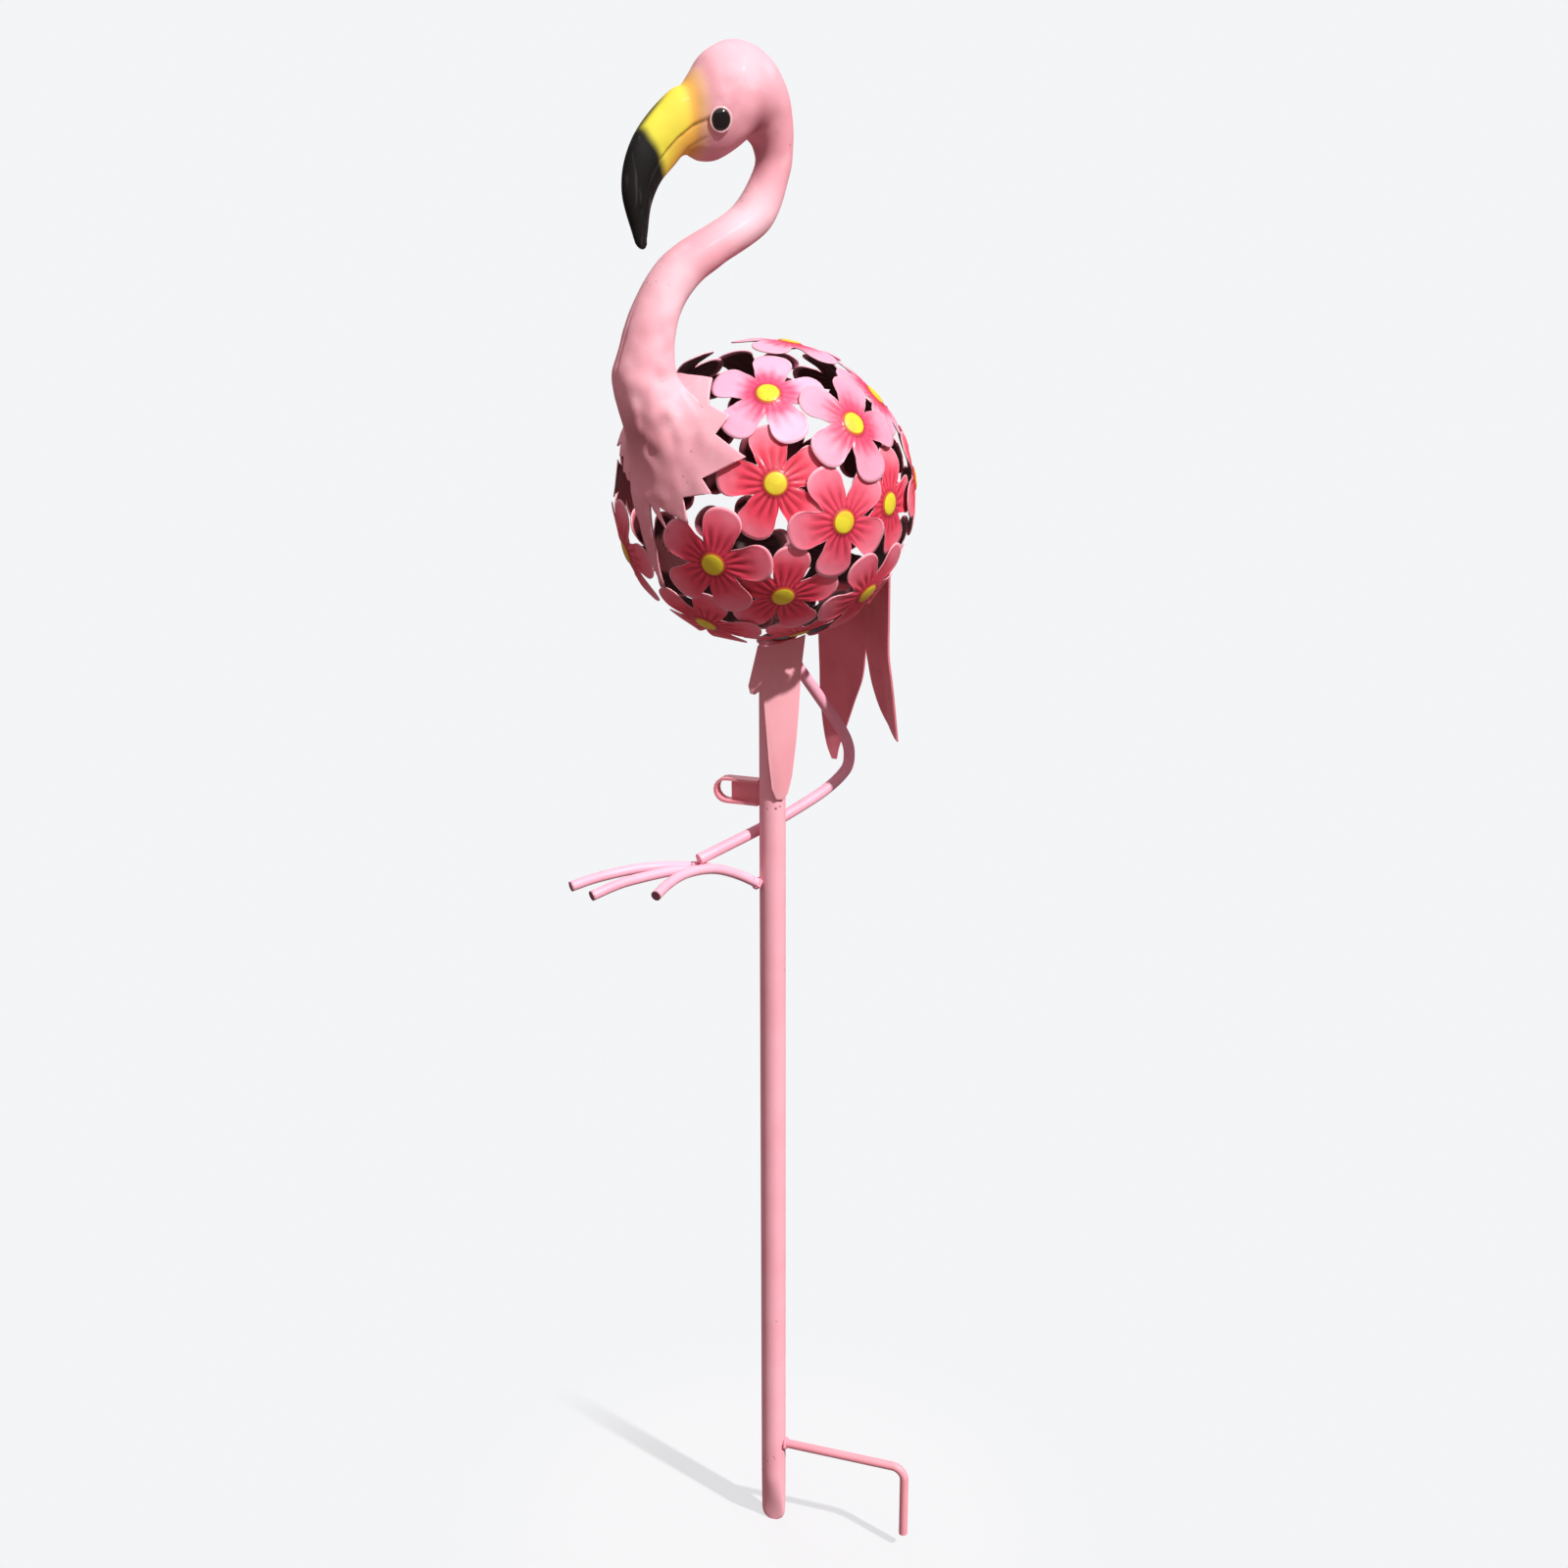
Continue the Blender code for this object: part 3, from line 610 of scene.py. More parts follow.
@dataclass(frozen=True)
class Enamel:
    """Satin enamel on sheet or rod, deeper in tone where it is cloudy and chipped here and there, with
    painted shade on a rod's cut end.
    """

    name: str
    colour: Colour
    deep: Colour
    roughness: float = 0.42
    dents: float = 0.2
    chips: float = 0.6
    coat: float = 0.25
    gloss_change: float = 0.22
    coat_roughness: float = 0.18
    specular: float = 0.32
    chipped: Colour = paint(96, 40, 46)
    end_face_shade: Colour = paint(104, 52, 64)

    def painted(self, graph: Graph, place: NodeSocket) -> NodeSocket:
        """The painted colour before chips, from the graph and the object coordinates."""
        cloud = graph.step(graph.noise(place, 24.0, 3.0), 0.35, 0.75)
        # Painted shade on a rod's cut end face, from the value that the rod's mesh carries
        return graph.mix(graph.value("bare"), graph.mix(cloud, self.colour, self.deep, 0.55), self.end_face_shade)

    def material(self) -> Material:
        """Makes the material.

        Returns:
            The painted colour with its chips, over an uneven skin.
        """
        material, graph, shader, place = start_material(self.name)
        surface = SHELF.place(graph, Effect.ENAMEL, Place=place, Dents=self.dents,
                              Gloss_Change=self.gloss_change, Roughness=self.roughness)
        specks = SHELF.place(graph, Effect.SPECKS, Place=place, Amount=self.chips)
        bump = graph.add("ShaderNodeBump", Distance=1.0, Height=surface.outputs["Height"])
        colour = graph.mix(specks.outputs["Chips"], self.painted(graph, place), self.chipped)
        graph.wire(shader, Base_Color=colour, Roughness=surface.outputs["Roughness"],
                   Coat_Weight=self.coat, Coat_Roughness=self.coat_roughness,
                   Specular_IOR_Level=self.specular, Normal=bump.outputs["Normal"])
        return material


@dataclass(frozen=True)
class FlowerEnamel(Enamel):
    """Petals washed from deep red streaks to pale rims with a painted highlight on the lip, a yellow centre
    in an orange ring.
    """

    streak: Colour = paint(132, 18, 32)
    rim: Colour = paint(247, 136, 156)
    painted_rim_highlight: Colour = paint(250, 210, 218)
    pale_root: Colour = paint(238, 84, 126)
    pale_rim: Colour = paint(247, 178, 206)
    centre: Colour = paint(232, 222, 54)
    deep_centre: Colour = paint(226, 200, 54)
    ring: Colour = paint(206, 96, 44)
    furrow_turns: float = 4.0 * math.pi

    def painted(self, graph: Graph, place: NodeSocket) -> NodeSocket:
        """The painted colour, before chips.

        Args:
            graph: The material's graph.
            place: Object coordinates.

        Returns:
            The colour.
        """
        reach = graph.value("reach")
        cloud = graph.noise(place, 70.0, 3.0)
        wander = graph.swing(graph.noise(place, 60.0), 5.0)
        turn = graph.math("ADD", graph.times(graph.value("across"), self.furrow_turns), wander)
        furrow = graph.step(graph.math("COSINE", turn), -0.5, 1.0)
        length = graph.math("ADD", reach, graph.swing(cloud, 0.5))
        streaks = graph.times(furrow, graph.step(length, 0.72, 0.38))
        strong = graph.mix(graph.step(length, 0.50, 1.05), self.colour, self.rim)
        strong = graph.mix(streaks, strong, self.streak, 0.62)
        soft = graph.mix(graph.step(length, 0.28, 0.66), self.pale_root, self.pale_rim)
        soft = graph.mix(streaks, soft, self.colour, 0.30)
        petal = graph.mix(graph.value("tint"), strong, soft)
        # Painted highlight along the petal rim's lip
        petal = graph.mix(graph.step(graph.value("edge"), 0.95, 0.99), petal, self.painted_rim_highlight, 0.5)
        petal = graph.mix(graph.step(reach, 0.30, 0.22), petal, self.streak, 0.5)
        petal = graph.mix(graph.step(reach, 0.222, 0.200), petal, self.ring)
        middle = graph.mix(graph.step(cloud, 0.45, 0.62), self.centre, self.deep_centre)
        petal = graph.mix(graph.step(reach, 0.190, 0.172), petal, middle)
        # Painted shade: the inner side of every flower takes the deep colour
        return graph.mix(graph.value("inside"), petal, self.deep)


@dataclass(frozen=True)
class BirdEnamel(Enamel):
    """The head, neck and breast: airbrushed pinks with painted highlights and shade, a yellow bill with an
    orange root, a black tip.
    """

    bill: Colour = paint(232, 224, 70)
    bill_low: Colour = paint(234, 180, 76)
    black: Colour = paint(9, 9, 9)
    streaky: Colour = paint(92, 90, 88)
    streak_scale: tuple[float, float, float] = (420.0, 160.0, 45.0)
    # Pale pink, used for random flecks and for the painted highlights
    palest: Colour = paint(250, 216, 226)
    # Colour of the painted shade
    shade: Colour = paint(150, 66, 76)
    line: Colour = paint(122, 92, 40)

    def painted(self, graph: Graph, place: NodeSocket) -> NodeSocket:
        """The painted colour, before chips.

        Args:
            graph: The material's graph.
            place: Object coordinates.

        Returns:
            The colour.
        """
        cloud = graph.step(graph.noise(place, 22.0, 3.0), 0.34, 0.74)
        fleck = graph.step(graph.noise(place, 75.0, 3.0), 0.52, 0.75)
        pink = graph.mix(cloud, self.colour, self.deep, 0.50)
        # Random pale flecks, then painted highlights where the mesh marks them
        pink = graph.mix(fleck, pink, self.palest, 0.30)
        pink = graph.mix(graph.value("palest"), pink, self.palest)
        # Painted shade behind the cheek, under the chin, on the throat and low on the breast
        pink = graph.mix(graph.value("shade"), pink, self.shade)
        low = graph.mix(graph.value("low_bill"), self.bill, self.bill_low)
        colour = graph.mix(graph.value("bill"), pink, low)
        stretched = graph.add("ShaderNodeMapping", Vector=place, Scale=self.streak_scale).outputs[0]
        grey = graph.step(graph.noise(stretched, 1.0), 0.56, 0.74)
        dark = graph.mix(grey, self.black, self.streaky, 0.30)
        colour = graph.mix(graph.value("black_tip"), colour, dark)
        return graph.mix(graph.value("line"), colour, self.line)


@dataclass(frozen=True)
class GlossBlack:
    """The eye's glossy black bead in its pale ring."""

    name: str = "eye_gloss"
    black: Colour = paint(8, 7, 8)
    faint: Colour = paint(18, 16, 17)
    ring: Colour = paint(246, 206, 208)

    def material(self) -> Material:
        """Makes the material.

        Returns:
            The gloss with its ring.
        """
        material, graph, shader, place = start_material(self.name)
        faint = graph.mix(graph.noise(place, 400.0), self.black, self.faint)
        colour = graph.mix(graph.value("ring"), faint, self.ring)
        graph.wire(shader, Base_Color=colour, Roughness=0.08, Coat_Weight=0.6)
        return material


@dataclass
class FlowerBall:
    """The openwork ball: stamped flowers bent to a sphere, lapped, placed by geometry nodes."""

    diameter: float = 0.385 * (2.0 * BALL_RADIUS)
    petals: int = 5
    sheet: float = 0.0007
    button_height: float = 0.0013
    button_share: float = 0.19
    notch_share: float = 0.40
    waist_share: float = 0.62
    side_share: float = 0.75
    bluntness: float = 2.5
    outer_rows: int = 11
    furrows: int = 3
    furrow_depth: float = 0.0006
    cupping: float = 0.0006
    rim_lift: float = 0.0004
    unevenness: float = 0.0011
    dent_scale: float = 34.0
    dent_seed: float = 3.0
    tint_seed: int = 11
    tint_whim: float = 0.16
    row_spread: float = 0.92
    inner_limit: float = 0.0008

    # Places of the mesh's lines across half a petal, closest where the outline turns
    half_petal: tuple = (0.0, 0.12, 0.24, 0.36, 0.48, 0.58, 0.66, 0.71, 0.742, 0.78, 0.84, 0.92)

    def outline(self, share: np.ndarray) -> np.ndarray:
        """Reach of the outline as a share of the radius.

        Args:
            share: Places from -1 to 1 across a petal.

        Returns:
            The reach at each place.
        """
        away = np.abs(share)
        rise = (1.0 - away) / (1.0 - self.side_share)
        notch = self.notch_share + (self.waist_share - self.notch_share) * rise
        across = np.clip(away / self.side_share, 0.0, 1.0)
        tip = self.waist_share + (1.0 - self.waist_share) * np.sqrt(1.0 - across ** self.bluntness)
        return np.where(away > self.side_share, notch, tip)

    def relief(self, across: np.ndarray, share: np.ndarray, edge: np.ndarray) -> np.ndarray:
        """Height of the outer side over the sheet: button, furrows, cupped petals and lifted rims.

        Args:
            across: Place across the petal, -1 to 1.
            share: Distance from the flower's middle as a share of its radius.
            edge: Distance from the middle as a share of the outline's reach there.

        Returns:
            The heights.
        """
        hollow = 1.0 - 0.3 * (share / self.button_share) ** 2
        dome = self.button_height * smoothstep(0.225, 0.175, share) * hollow
        wave = 0.5 + 0.5 * np.cos(across / self.side_share * math.pi * self.furrows)
        carve = self.furrow_depth * wave * smoothstep(0.25, 0.36, share) * smoothstep(0.78, 0.50, share)
        cup = self.cupping * (across / self.side_share) ** 2 * smoothstep(0.40, 0.80, share)
        lift = self.rim_lift * smoothstep(0.88, 1.0, edge) * smoothstep(0.3, 0.5, share)
        return np.maximum(dome, 0.0) - carve + cup * (share > 0.3) + lift

    def template(self, material: Material) -> Object:
        """One flower on top of a ball whose centre is the origin, its first petal towards +Y.

        Args:
            material: The flowers' finish.

        Returns:
            The template, which is removed once the ball is made.
        """
        half = np.array(self.half_petal)
        petal = np.concatenate(((-1.0,), -half[:0:-1], half))
        across = np.tile(petal, self.petals)
        columns = len(across)
        middle = np.repeat(np.arange(self.petals), len(petal)) * 2.0 * math.pi / self.petals
        angle = middle + across * math.pi / self.petals
        rim = self.outline(across)
        button = (0.09, 0.15, self.button_share, 0.226)
        rows = [np.full(columns, share) for share in button]
        for step in range(1, self.outer_rows + 1):
            rows.append(button[-1] + (rim - button[-1]) * (step / self.outer_rows) ** self.row_spread)
        heights = [self.relief(across, share, share / rim) for share in rows]
        inner = list(range(len(rows) - 1, 2, -2))
        ring_rows = rows + [rows[index] for index in inner]
        ring_heights = heights + [np.minimum(heights[index], self.inner_limit) - self.sheet
                                  for index in inner]
        reach = self.diameter / 2.0
        points, named = [], {"across": [], "reach": [], "edge": [], "inside": []}
        for number, (share, height) in enumerate(zip(ring_rows, ring_heights)):
            bend = share * reach / BALL_RADIUS
            radius = BALL_RADIUS + height
            side = np.sin(bend) * radius
            points.append(np.stack((side * np.sin(angle), side * np.cos(angle), np.cos(bend) * radius), -1))
            named["across"].append(across)
            named["reach"].append(share)
            named["edge"].append(share / rim)
            # The inner side's rings are marked for the finish's painted shade
            named["inside"].append(np.full(columns, 1.0 if number > len(rows) else 0.0))
        poles = np.array(((0.0, 0.0, BALL_RADIUS + self.button_height), (0.0, 0.0, BALL_RADIUS - self.sheet)))
        values = {label: np.concatenate(rings + [np.zeros(2)]) for label, rings in named.items()}
        values["inside"][-1] = 1.0
        faces = shell_faces(len(ring_rows), columns)
        return new_piece("flower_template", np.vstack(points + [poles]), faces, material, values)

    def places(self) -> Object:
        """Points at the ball's centre that carry each flower's turn, level and tint.

        Returns:
            The points' piece.
        """
        turns, levels, tints = [], [], []
        whim = np.random.default_rng(self.tint_seed)
        for node, (around, rise, turn) in zip(FLOWER_NODES, FLOWER_PLACES):
            outward = Vector(ball_direction(around, rise))
            up = (Vector(UP) - outward * outward.z).normalized()
            right = up.cross(outward)
            angle = math.radians(turn)
            first = up * math.cos(angle) + right * math.sin(angle)
            side = right * math.cos(angle) - up * math.sin(angle)
            turns += list(Matrix((side, first, outward)).transposed().to_euler())
            levels.append(self.level_radius(node) / BALL_RADIUS)
            tint = float(smoothstep(10.0, 48.0, rise)) + whim.uniform(-self.tint_whim, self.tint_whim)
            tints.append(min(1.0, max(0.0, tint)))
        holder = point_piece("flower_ball", np.tile(BALL_CENTRE, (len(FLOWER_PLACES), 1)))
        holder.data.attributes.new("turn", "FLOAT_VECTOR", "POINT").data.foreach_set("vector", turns)
        keep_values(holder.data, {"level": levels, "tint": tints})
        return holder

    def level_radius(self, node: str) -> float:
        """Radius of a packed flower's outer side, from its highest place, the button."""
        points = np.array([vertex.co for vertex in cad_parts[node].data.vertices])
        return float(np.linalg.norm(points - BALL_CENTRE, axis=1).max()) - self.button_height

    def tree(self) -> NodeTree:
        """Geometry nodes that set a flower at every place and hammer them a little uneven.

        Returns:
            The tree.
        """
        graph = GeometryTree("lapped_flowers", Flower=Socket.OBJECT, Unevenness=0.0005, Dent_Scale=40.0,
                             Seed=3.0)
        read = "GeometryNodeInputNamedAttribute"
        turn = graph.add(read, {"data_type": "FLOAT_VECTOR"}, Name="turn").outputs["Attribute"]
        level = graph.add(read, {"data_type": "FLOAT"}, Name="level").outputs["Attribute"]
        flower = graph.add("GeometryNodeObjectInfo", Object=graph.given["Flower"])
        rotation = graph.add("FunctionNodeEulerToRotation", Euler=turn)
        placed = graph.add("GeometryNodeInstanceOnPoints", Points=graph.given["Geometry"], Scale=level,
                           Instance=flower.outputs["Geometry"], Rotation=rotation.outputs[0])
        real = graph.add("GeometryNodeRealizeInstances", Geometry=placed.outputs[0])
        cloud = graph.add("ShaderNodeTexNoise", {"noise_dimensions": "4D"}, W=graph.given["Seed"],
                          Scale=graph.given["Dent Scale"], Detail=1.0)
        push = graph.swing(cloud.outputs[0], graph.times(graph.given["Unevenness"], 2.0))
        sums = "ShaderNodeVectorMath"
        place = graph.add("GeometryNodeInputPosition").outputs[0]
        out = graph.add(sums, {"operation": "SUBTRACT"}, Vector=place)
        graph.feed(out.inputs[1], tuple(BALL_CENTRE))
        unit = graph.add(sums, {"operation": "NORMALIZE"}, Vector=out.outputs[0])
        shift = graph.add(sums, {"operation": "SCALE"}, Vector=unit.outputs[0], Scale=push)
        moved = graph.add("GeometryNodeSetPosition", Geometry=real.outputs[0], Offset=shift.outputs[0])
        return graph.dress(moved.outputs[0])

    def build(self) -> None:
        """Makes the ball of flowers."""
        # The second colour is the painted shade on the flowers' inner side
        finish = FlowerEnamel("flower_enamel", paint(238, 68, 94), paint(70, 20, 26), roughness=0.50,
                              dents=0.15, chips=0.35, coat=0.10,
                              furrow_turns=self.furrows * math.pi / self.side_share).material()
        template = self.template(finish)
        ball = self.places()
        run_nodes(ball, self.tree(), {"Flower": template, "Unevenness": self.unevenness, "Finish": finish,
                                      "Dent Scale": self.dent_scale, "Seed": self.dent_seed})
        bpy.data.objects.remove(template, do_unlink=True)
        hand_in(ball, "flower_paint", *FLOWER_NODES)


@dataclass
class HeadNeckBreast:
    """The welded shell: bill, head and neck, and the breast cut into feathers."""

    sides_per_column: int = 4
    head_step: float = 0.0014
    neck_step: float = 0.0032
    sheet: float = 0.0012
    skin: float = BALL_RADIUS + 0.0007
    breast_rows: int = 26
    feather_rows: int = 9
    feather_root: tuple[float, float] = (8.0, 27.0)
    feather_root_share: float = 0.10
    bill_tip: tuple[float, float] = (-0.883, 1.575)
    tip_rings: tuple[float, ...] = (0.94, 0.78, 0.52)
    mouth_depth: float = 0.0008
    mouth_width: float = 0.0008
    lower_bill_step: float = 0.0008
    lower_bill_reach: float = 0.0045
    jaw_depth: float = 0.0003
    jaw_width: float = 0.0009
    seam_depth: float = 0.0006
    seam_width: float = 0.0010
    dent_depth: float = 0.0021
    dent_scale: float = 58.0
    fine_dent_scale: float = 115.0
    # Greatest strength of the painted highlight and painted shade patches
    painted_light_limit: float = 0.9

    # Lines on the side of the head, in metres back and up: where the bill shuts, the jaw, and
    # where the black of the tip begins.
    mouth: tuple = ((-0.0472, 0.8981), (-0.0582, 0.8926), (-0.0692, 0.8846), (-0.0789, 0.8740),
                    (-0.0861, 0.8619), (-0.0902, 0.8460))
    jaw: tuple = ((-0.0526, 0.8855), (-0.0607, 0.8793))
    black_from: tuple = (-0.0882, 0.8921)
    black_to: tuple = (-0.0789, 0.8740)

    # Soft patches of painted light: strength, middle, and reach along X, Y and Z. Painted
    # highlights are on the crown, the neck's two bends and the breast's top.
    painted_highlight_patches: tuple = (
        (0.40, (-0.030, 0.0, 0.925), (0.022, 0.05, 0.016)),
        (0.75, (-0.018, -0.010, 0.840), (0.026, 0.02, 0.020)),
        (0.70, (-0.072, -0.012, 0.800), (0.016, 0.02, 0.024)),
        (0.45, (-0.070, -0.045, 0.745), (0.024, 0.03, 0.024)),
    )
    # Painted shade: dark patches in the crook behind the cheek, under the chin, on the throat and
    # low on the breast.
    painted_shade_patches: tuple = (
        (0.75, (-0.020, -0.016, 0.894), (0.007, 0.010, 0.013)),
        (0.45, (-0.036, 0.0, 0.874), (0.014, 0.02, 0.005)),
        (0.35, (-0.010, 0.0, 0.880), (0.006, 0.02, 0.012)),
        (0.55, (-0.100, -0.020, 0.722), (0.020, 0.030, 0.016)),
    )

    def side_columns(self, places: tuple) -> tuple[np.ndarray, np.ndarray]:
        """One side's feather edge and the line through its notches, front seam to nape.

        Args:
            places: The side's table.

        Returns:
            Degrees round and up, for the edge and for the line.
        """
        half = np.array([place[:2] for place in reversed(places)], dtype=float)
        notches = [index for index, place in enumerate(reversed(places)) if place[2]]
        root = np.array(self.feather_root)
        rooted = {index: half[index] + (root - half[index]) * self.feather_root_share for index in notches}
        rooted[notches[0]][0] = 0.0
        rooted[notches[-1]][0] = 0.0
        base = []
        for low, high in zip(notches, notches[1:]):
            for index in range(low, high):
                base.append(rooted[low] + (rooted[high] - rooted[low]) * (index - low) / (high - low))
        base.append(rooted[notches[-1]])
        return half, np.array(base)

    def columns(self) -> tuple[np.ndarray, np.ndarray]:
        """The columns of the breast's mesh.

        Returns:
            Degrees round and up of the feather edge, and of the line through its notches.
        """
        left, left_base = self.side_columns(LEFT_FEATHER_EDGE)
        right, right_base = self.side_columns(RIGHT_FEATHER_EDGE)
        flip = np.array((-1.0, 1.0))
        edge = np.vstack((left, right[-2:0:-1] * flip))
        roots = np.vstack((left_base, right_base[-2:0:-1] * flip))
        return self.between(edge), self.between(roots)

    def between(self, places: np.ndarray) -> np.ndarray:
        """Sets more places evenly between each one and the next, round to the first.

        Args:
            places: Degrees round and up, one place a row.

        Returns:
            The given places and the new ones.
        """
        after = np.roll(places, -1, axis=0)
        steps = np.arange(self.sides_per_column) / self.sides_per_column
        return (places[:, None] + (after - places)[:, None] * steps[None, :, None]).reshape(-1, 2)

    def body_rings(self) -> tuple[np.ndarray, int]:
        """Rings from the bill's tip to the neck's foot.

        Returns:
            The rings, and how many of them are the head's.
        """
        stations = np.array(BODY_STATIONS)
        lengths = np.linalg.norm(np.diff(stations[:, :2], axis=0), axis=1) * BALL_RADIUS
        steps = [self.head_step if index < HEAD_STATIONS else self.neck_step for index in range(len(lengths))]
        spans = [math.ceil(length / step) for length, step in zip(lengths, steps)]
        rows = catmull_rows(stations, spans)
        sides = 2 * (len(LEFT_FEATHER_EDGE) - 1) * self.sides_per_column
        angle = 2.0 * math.pi * np.arange(sides) / sides
        middle = BALL_CENTRE + np.stack((rows[:, 0], rows[:, 0] * 0.0, rows[:, 1]), -1) * BALL_RADIUS
        lean = np.radians(rows[:, 2])
        belly = np.stack((np.cos(lean), lean * 0.0, np.sin(lean)), -1)
        along = belly[:, None] * (np.cos(angle)[None, :] * rows[:, 3:4] * BALL_RADIUS)[..., None]
        left = np.array((0.0, -1.0, 0.0))
        across = left * (np.sin(angle)[None, :] * rows[:, 4:5] * BALL_RADIUS)[..., None]
        rings = middle[:, None] + along + across
        tip = ball_place(*self.bill_tip)
        cap = []
        for share in self.tip_rings:
            wide = math.sqrt(1.0 - share ** 2)
            middle_here = middle[0] + (tip - middle[0]) * share
            cap.append(middle_here + (rings[0] - middle[0]) * wide)
        return np.vstack((np.array(cap), rings)), len(cap) + sum(spans[:HEAD_STATIONS])

    def breast(self, last: np.ndarray, before: np.ndarray, radius: float) -> np.ndarray:
        """Rows of the breast, each line leaving the neck smoothly and landing on the ball.

        Args:
            last: The neck's last ring.
            before: The ring before it.
            radius: Radius of this side of the sheet on the ball.

        Returns:
            The rows down to the feather edge.
        """
        edge, base = self.columns()
        end = BALL_CENTRE + ball_direction(base[:, 0], base[:, 1]) * radius
        span = np.linalg.norm(end - last, axis=1, keepdims=True)
        leave = last - before
        leave = leave / np.linalg.norm(leave, axis=1, keepdims=True) * span
        outward = (end - BALL_CENTRE) / radius
        arrive = (end - last) - outward * np.sum((end - last) * outward, axis=1, keepdims=True)
        arrive = arrive / np.linalg.norm(arrive, axis=1, keepdims=True) * span
        rows = []
        for row in range(1, self.breast_rows + 1):
            share = row / self.breast_rows
            point = (
                last * (2 * share ** 3 - 3 * share ** 2 + 1)
                + leave * (share ** 3 - 2 * share ** 2 + share)
                + end * (3 * share ** 2 - 2 * share ** 3)
                + arrive * (share ** 3 - share ** 2)
            )
            away = np.linalg.norm(point - BALL_CENTRE, axis=1, keepdims=True)
            rows.append(BALL_CENTRE + (point - BALL_CENTRE) * np.maximum(radius / away, 1.0))
        for step in range(1, self.feather_rows + 1):
            place = base + (edge - base) * step / self.feather_rows
            rows.append(BALL_CENTRE + ball_direction(place[:, 0], place[:, 1]) * radius)
        return np.array(rows)

    @staticmethod
    def line_distance(points: np.ndarray, line: Sequence[Sequence[float]]) -> tuple[np.ndarray, np.ndarray]:
        """Distance from points to a line on the side of the head, and which side they are on.

        Args:
            points: Vertices, X, Y and Z on the last axis.
            line: Places back and up.

        Returns:
            The distances, and positive values below and behind the line.
        """
        flat = points[..., (0, 2)]
        best = np.full(flat.shape[:-1], 1.0)
        side = np.zeros(flat.shape[:-1])
        for start, end in zip(np.array(line)[:-1], np.array(line)[1:]):
            run = end - start
            share = np.clip(((flat - start) @ run) / (run @ run), 0.0, 1.0)
            gap = flat - start - share[..., None] * run
            distance = np.linalg.norm(gap, axis=-1)
            turn = run[1] * (flat[..., 0] - start[0]) - run[0] * (flat[..., 1] - start[1])
            nearer = distance < best
            side = np.where(nearer, -turn, side)
            best = np.where(nearer, distance, best)
        return best, side

    def surface_normals(self, rows: np.ndarray) -> np.ndarray:
        """Outward unit directions on a grid of closed rows.

        Args:
            rows: The grid, X, Y and Z on the last axis.

        Returns:
            A direction for each vertex.
        """
        along = np.gradient(rows, axis=0)
        round_ = np.roll(rows, -1, axis=1) - np.roll(rows, 1, axis=1)
        normal = np.cross(along, round_)
        length = np.linalg.norm(normal, axis=-1, keepdims=True)
        normal = normal / np.maximum(length, 1e-12)
        middle = rows.mean(axis=1, keepdims=True)
        outward = np.sum(normal * (rows - middle), axis=-1).mean(axis=1)
        return normal * np.sign(outward)[:, None, None]

    def hammering(self, rows: np.ndarray, on_head: np.ndarray) -> tuple[np.ndarray, np.ndarray]:
        """The hammered dents, deep on the breast and faint on the head and where the sheet lies on the ball.

        Args:
            rows: The outer side's grid.
            on_head: 1 on the head, 0 below it.

        Returns:
            Their depth and their pattern.
        """
        pattern = np.array([noise.noise(Vector(point) * self.dent_scale)
                            + 0.9 * noise.noise(Vector(point) * self.fine_dent_scale)
                            for point in rows.reshape(-1, 3)]).reshape(rows.shape[:2])
        low = smoothstep(0.84, 0.75, rows[..., 2])
        free = smoothstep(0.0030, 0.0080, np.linalg.norm(rows - BALL_CENTRE, axis=-1) - BALL_RADIUS)
        left = 0.20 + 0.80 * smoothstep(-0.006, -0.020, rows[..., 1])
        depth = self.dent_depth * (0.16 + 0.84 * low) * (1.0 - 0.8 * on_head) * (0.35 + 0.65 * free) * left
        return depth, pattern

    def relief(self, rows: np.ndarray, head_rows: int) -> tuple[np.ndarray, dict[str, np.ndarray]]:
        """Height of the surface work, and the values that the finish reads.

        Args:
            rows: The outer side's grid.
            head_rows: How many rows are the head's.

        Returns:
            Height over the smooth form, and named values.
        """
        on_head = smoothstep(head_rows + 2, head_rows - 6, np.arange(len(rows)))[:, None]
        x, y, z = rows[..., 0], rows[..., 1], rows[..., 2]
        width = np.abs(y)
        flank = smoothstep(0.0015, 0.004, width)
        distance, side = self.line_distance(rows, self.mouth)
        jaw_gap = self.line_distance(rows, self.jaw)[0]
        groove = np.exp(-(distance / self.mouth_width) ** 2) * flank * on_head
        below = (side > 0.0) * np.exp(-distance / self.lower_bill_reach) * flank * on_head
        jaw = np.exp(-(jaw_gap / self.jaw_width) ** 2) * on_head
        seam = np.exp(-(y / self.seam_width) ** 2) * (x < -0.07) * smoothstep(0.80, 0.78, z)
        depth, dents = self.hammering(rows, on_head)
        height = -self.mouth_depth * groove - self.lower_bill_step * below - self.jaw_depth * jaw
        height = height + depth * dents - self.seam_depth * seam
        start, end = np.array(self.black_from), np.array(self.black_to)
        run = (end - start) / np.linalg.norm(end - start)
        across = -(x - start[0]) * (-run[1]) - (z - start[1]) * run[0]
        ridge = smoothstep(0.0045, 0.0, width) * (side < 0.0) * smoothstep(-0.0660, -0.0800, x)
        tip_side = np.maximum(smoothstep(-0.0036, 0.0026, across + 0.0010 * dents), 0.9 * ridge) * on_head
        bill = smoothstep(-0.0480, -0.0590, x) * on_head
        low_bill = bill * (0.25 + 0.75 * (side > 0.0)) * smoothstep(-0.085, -0.060, x)
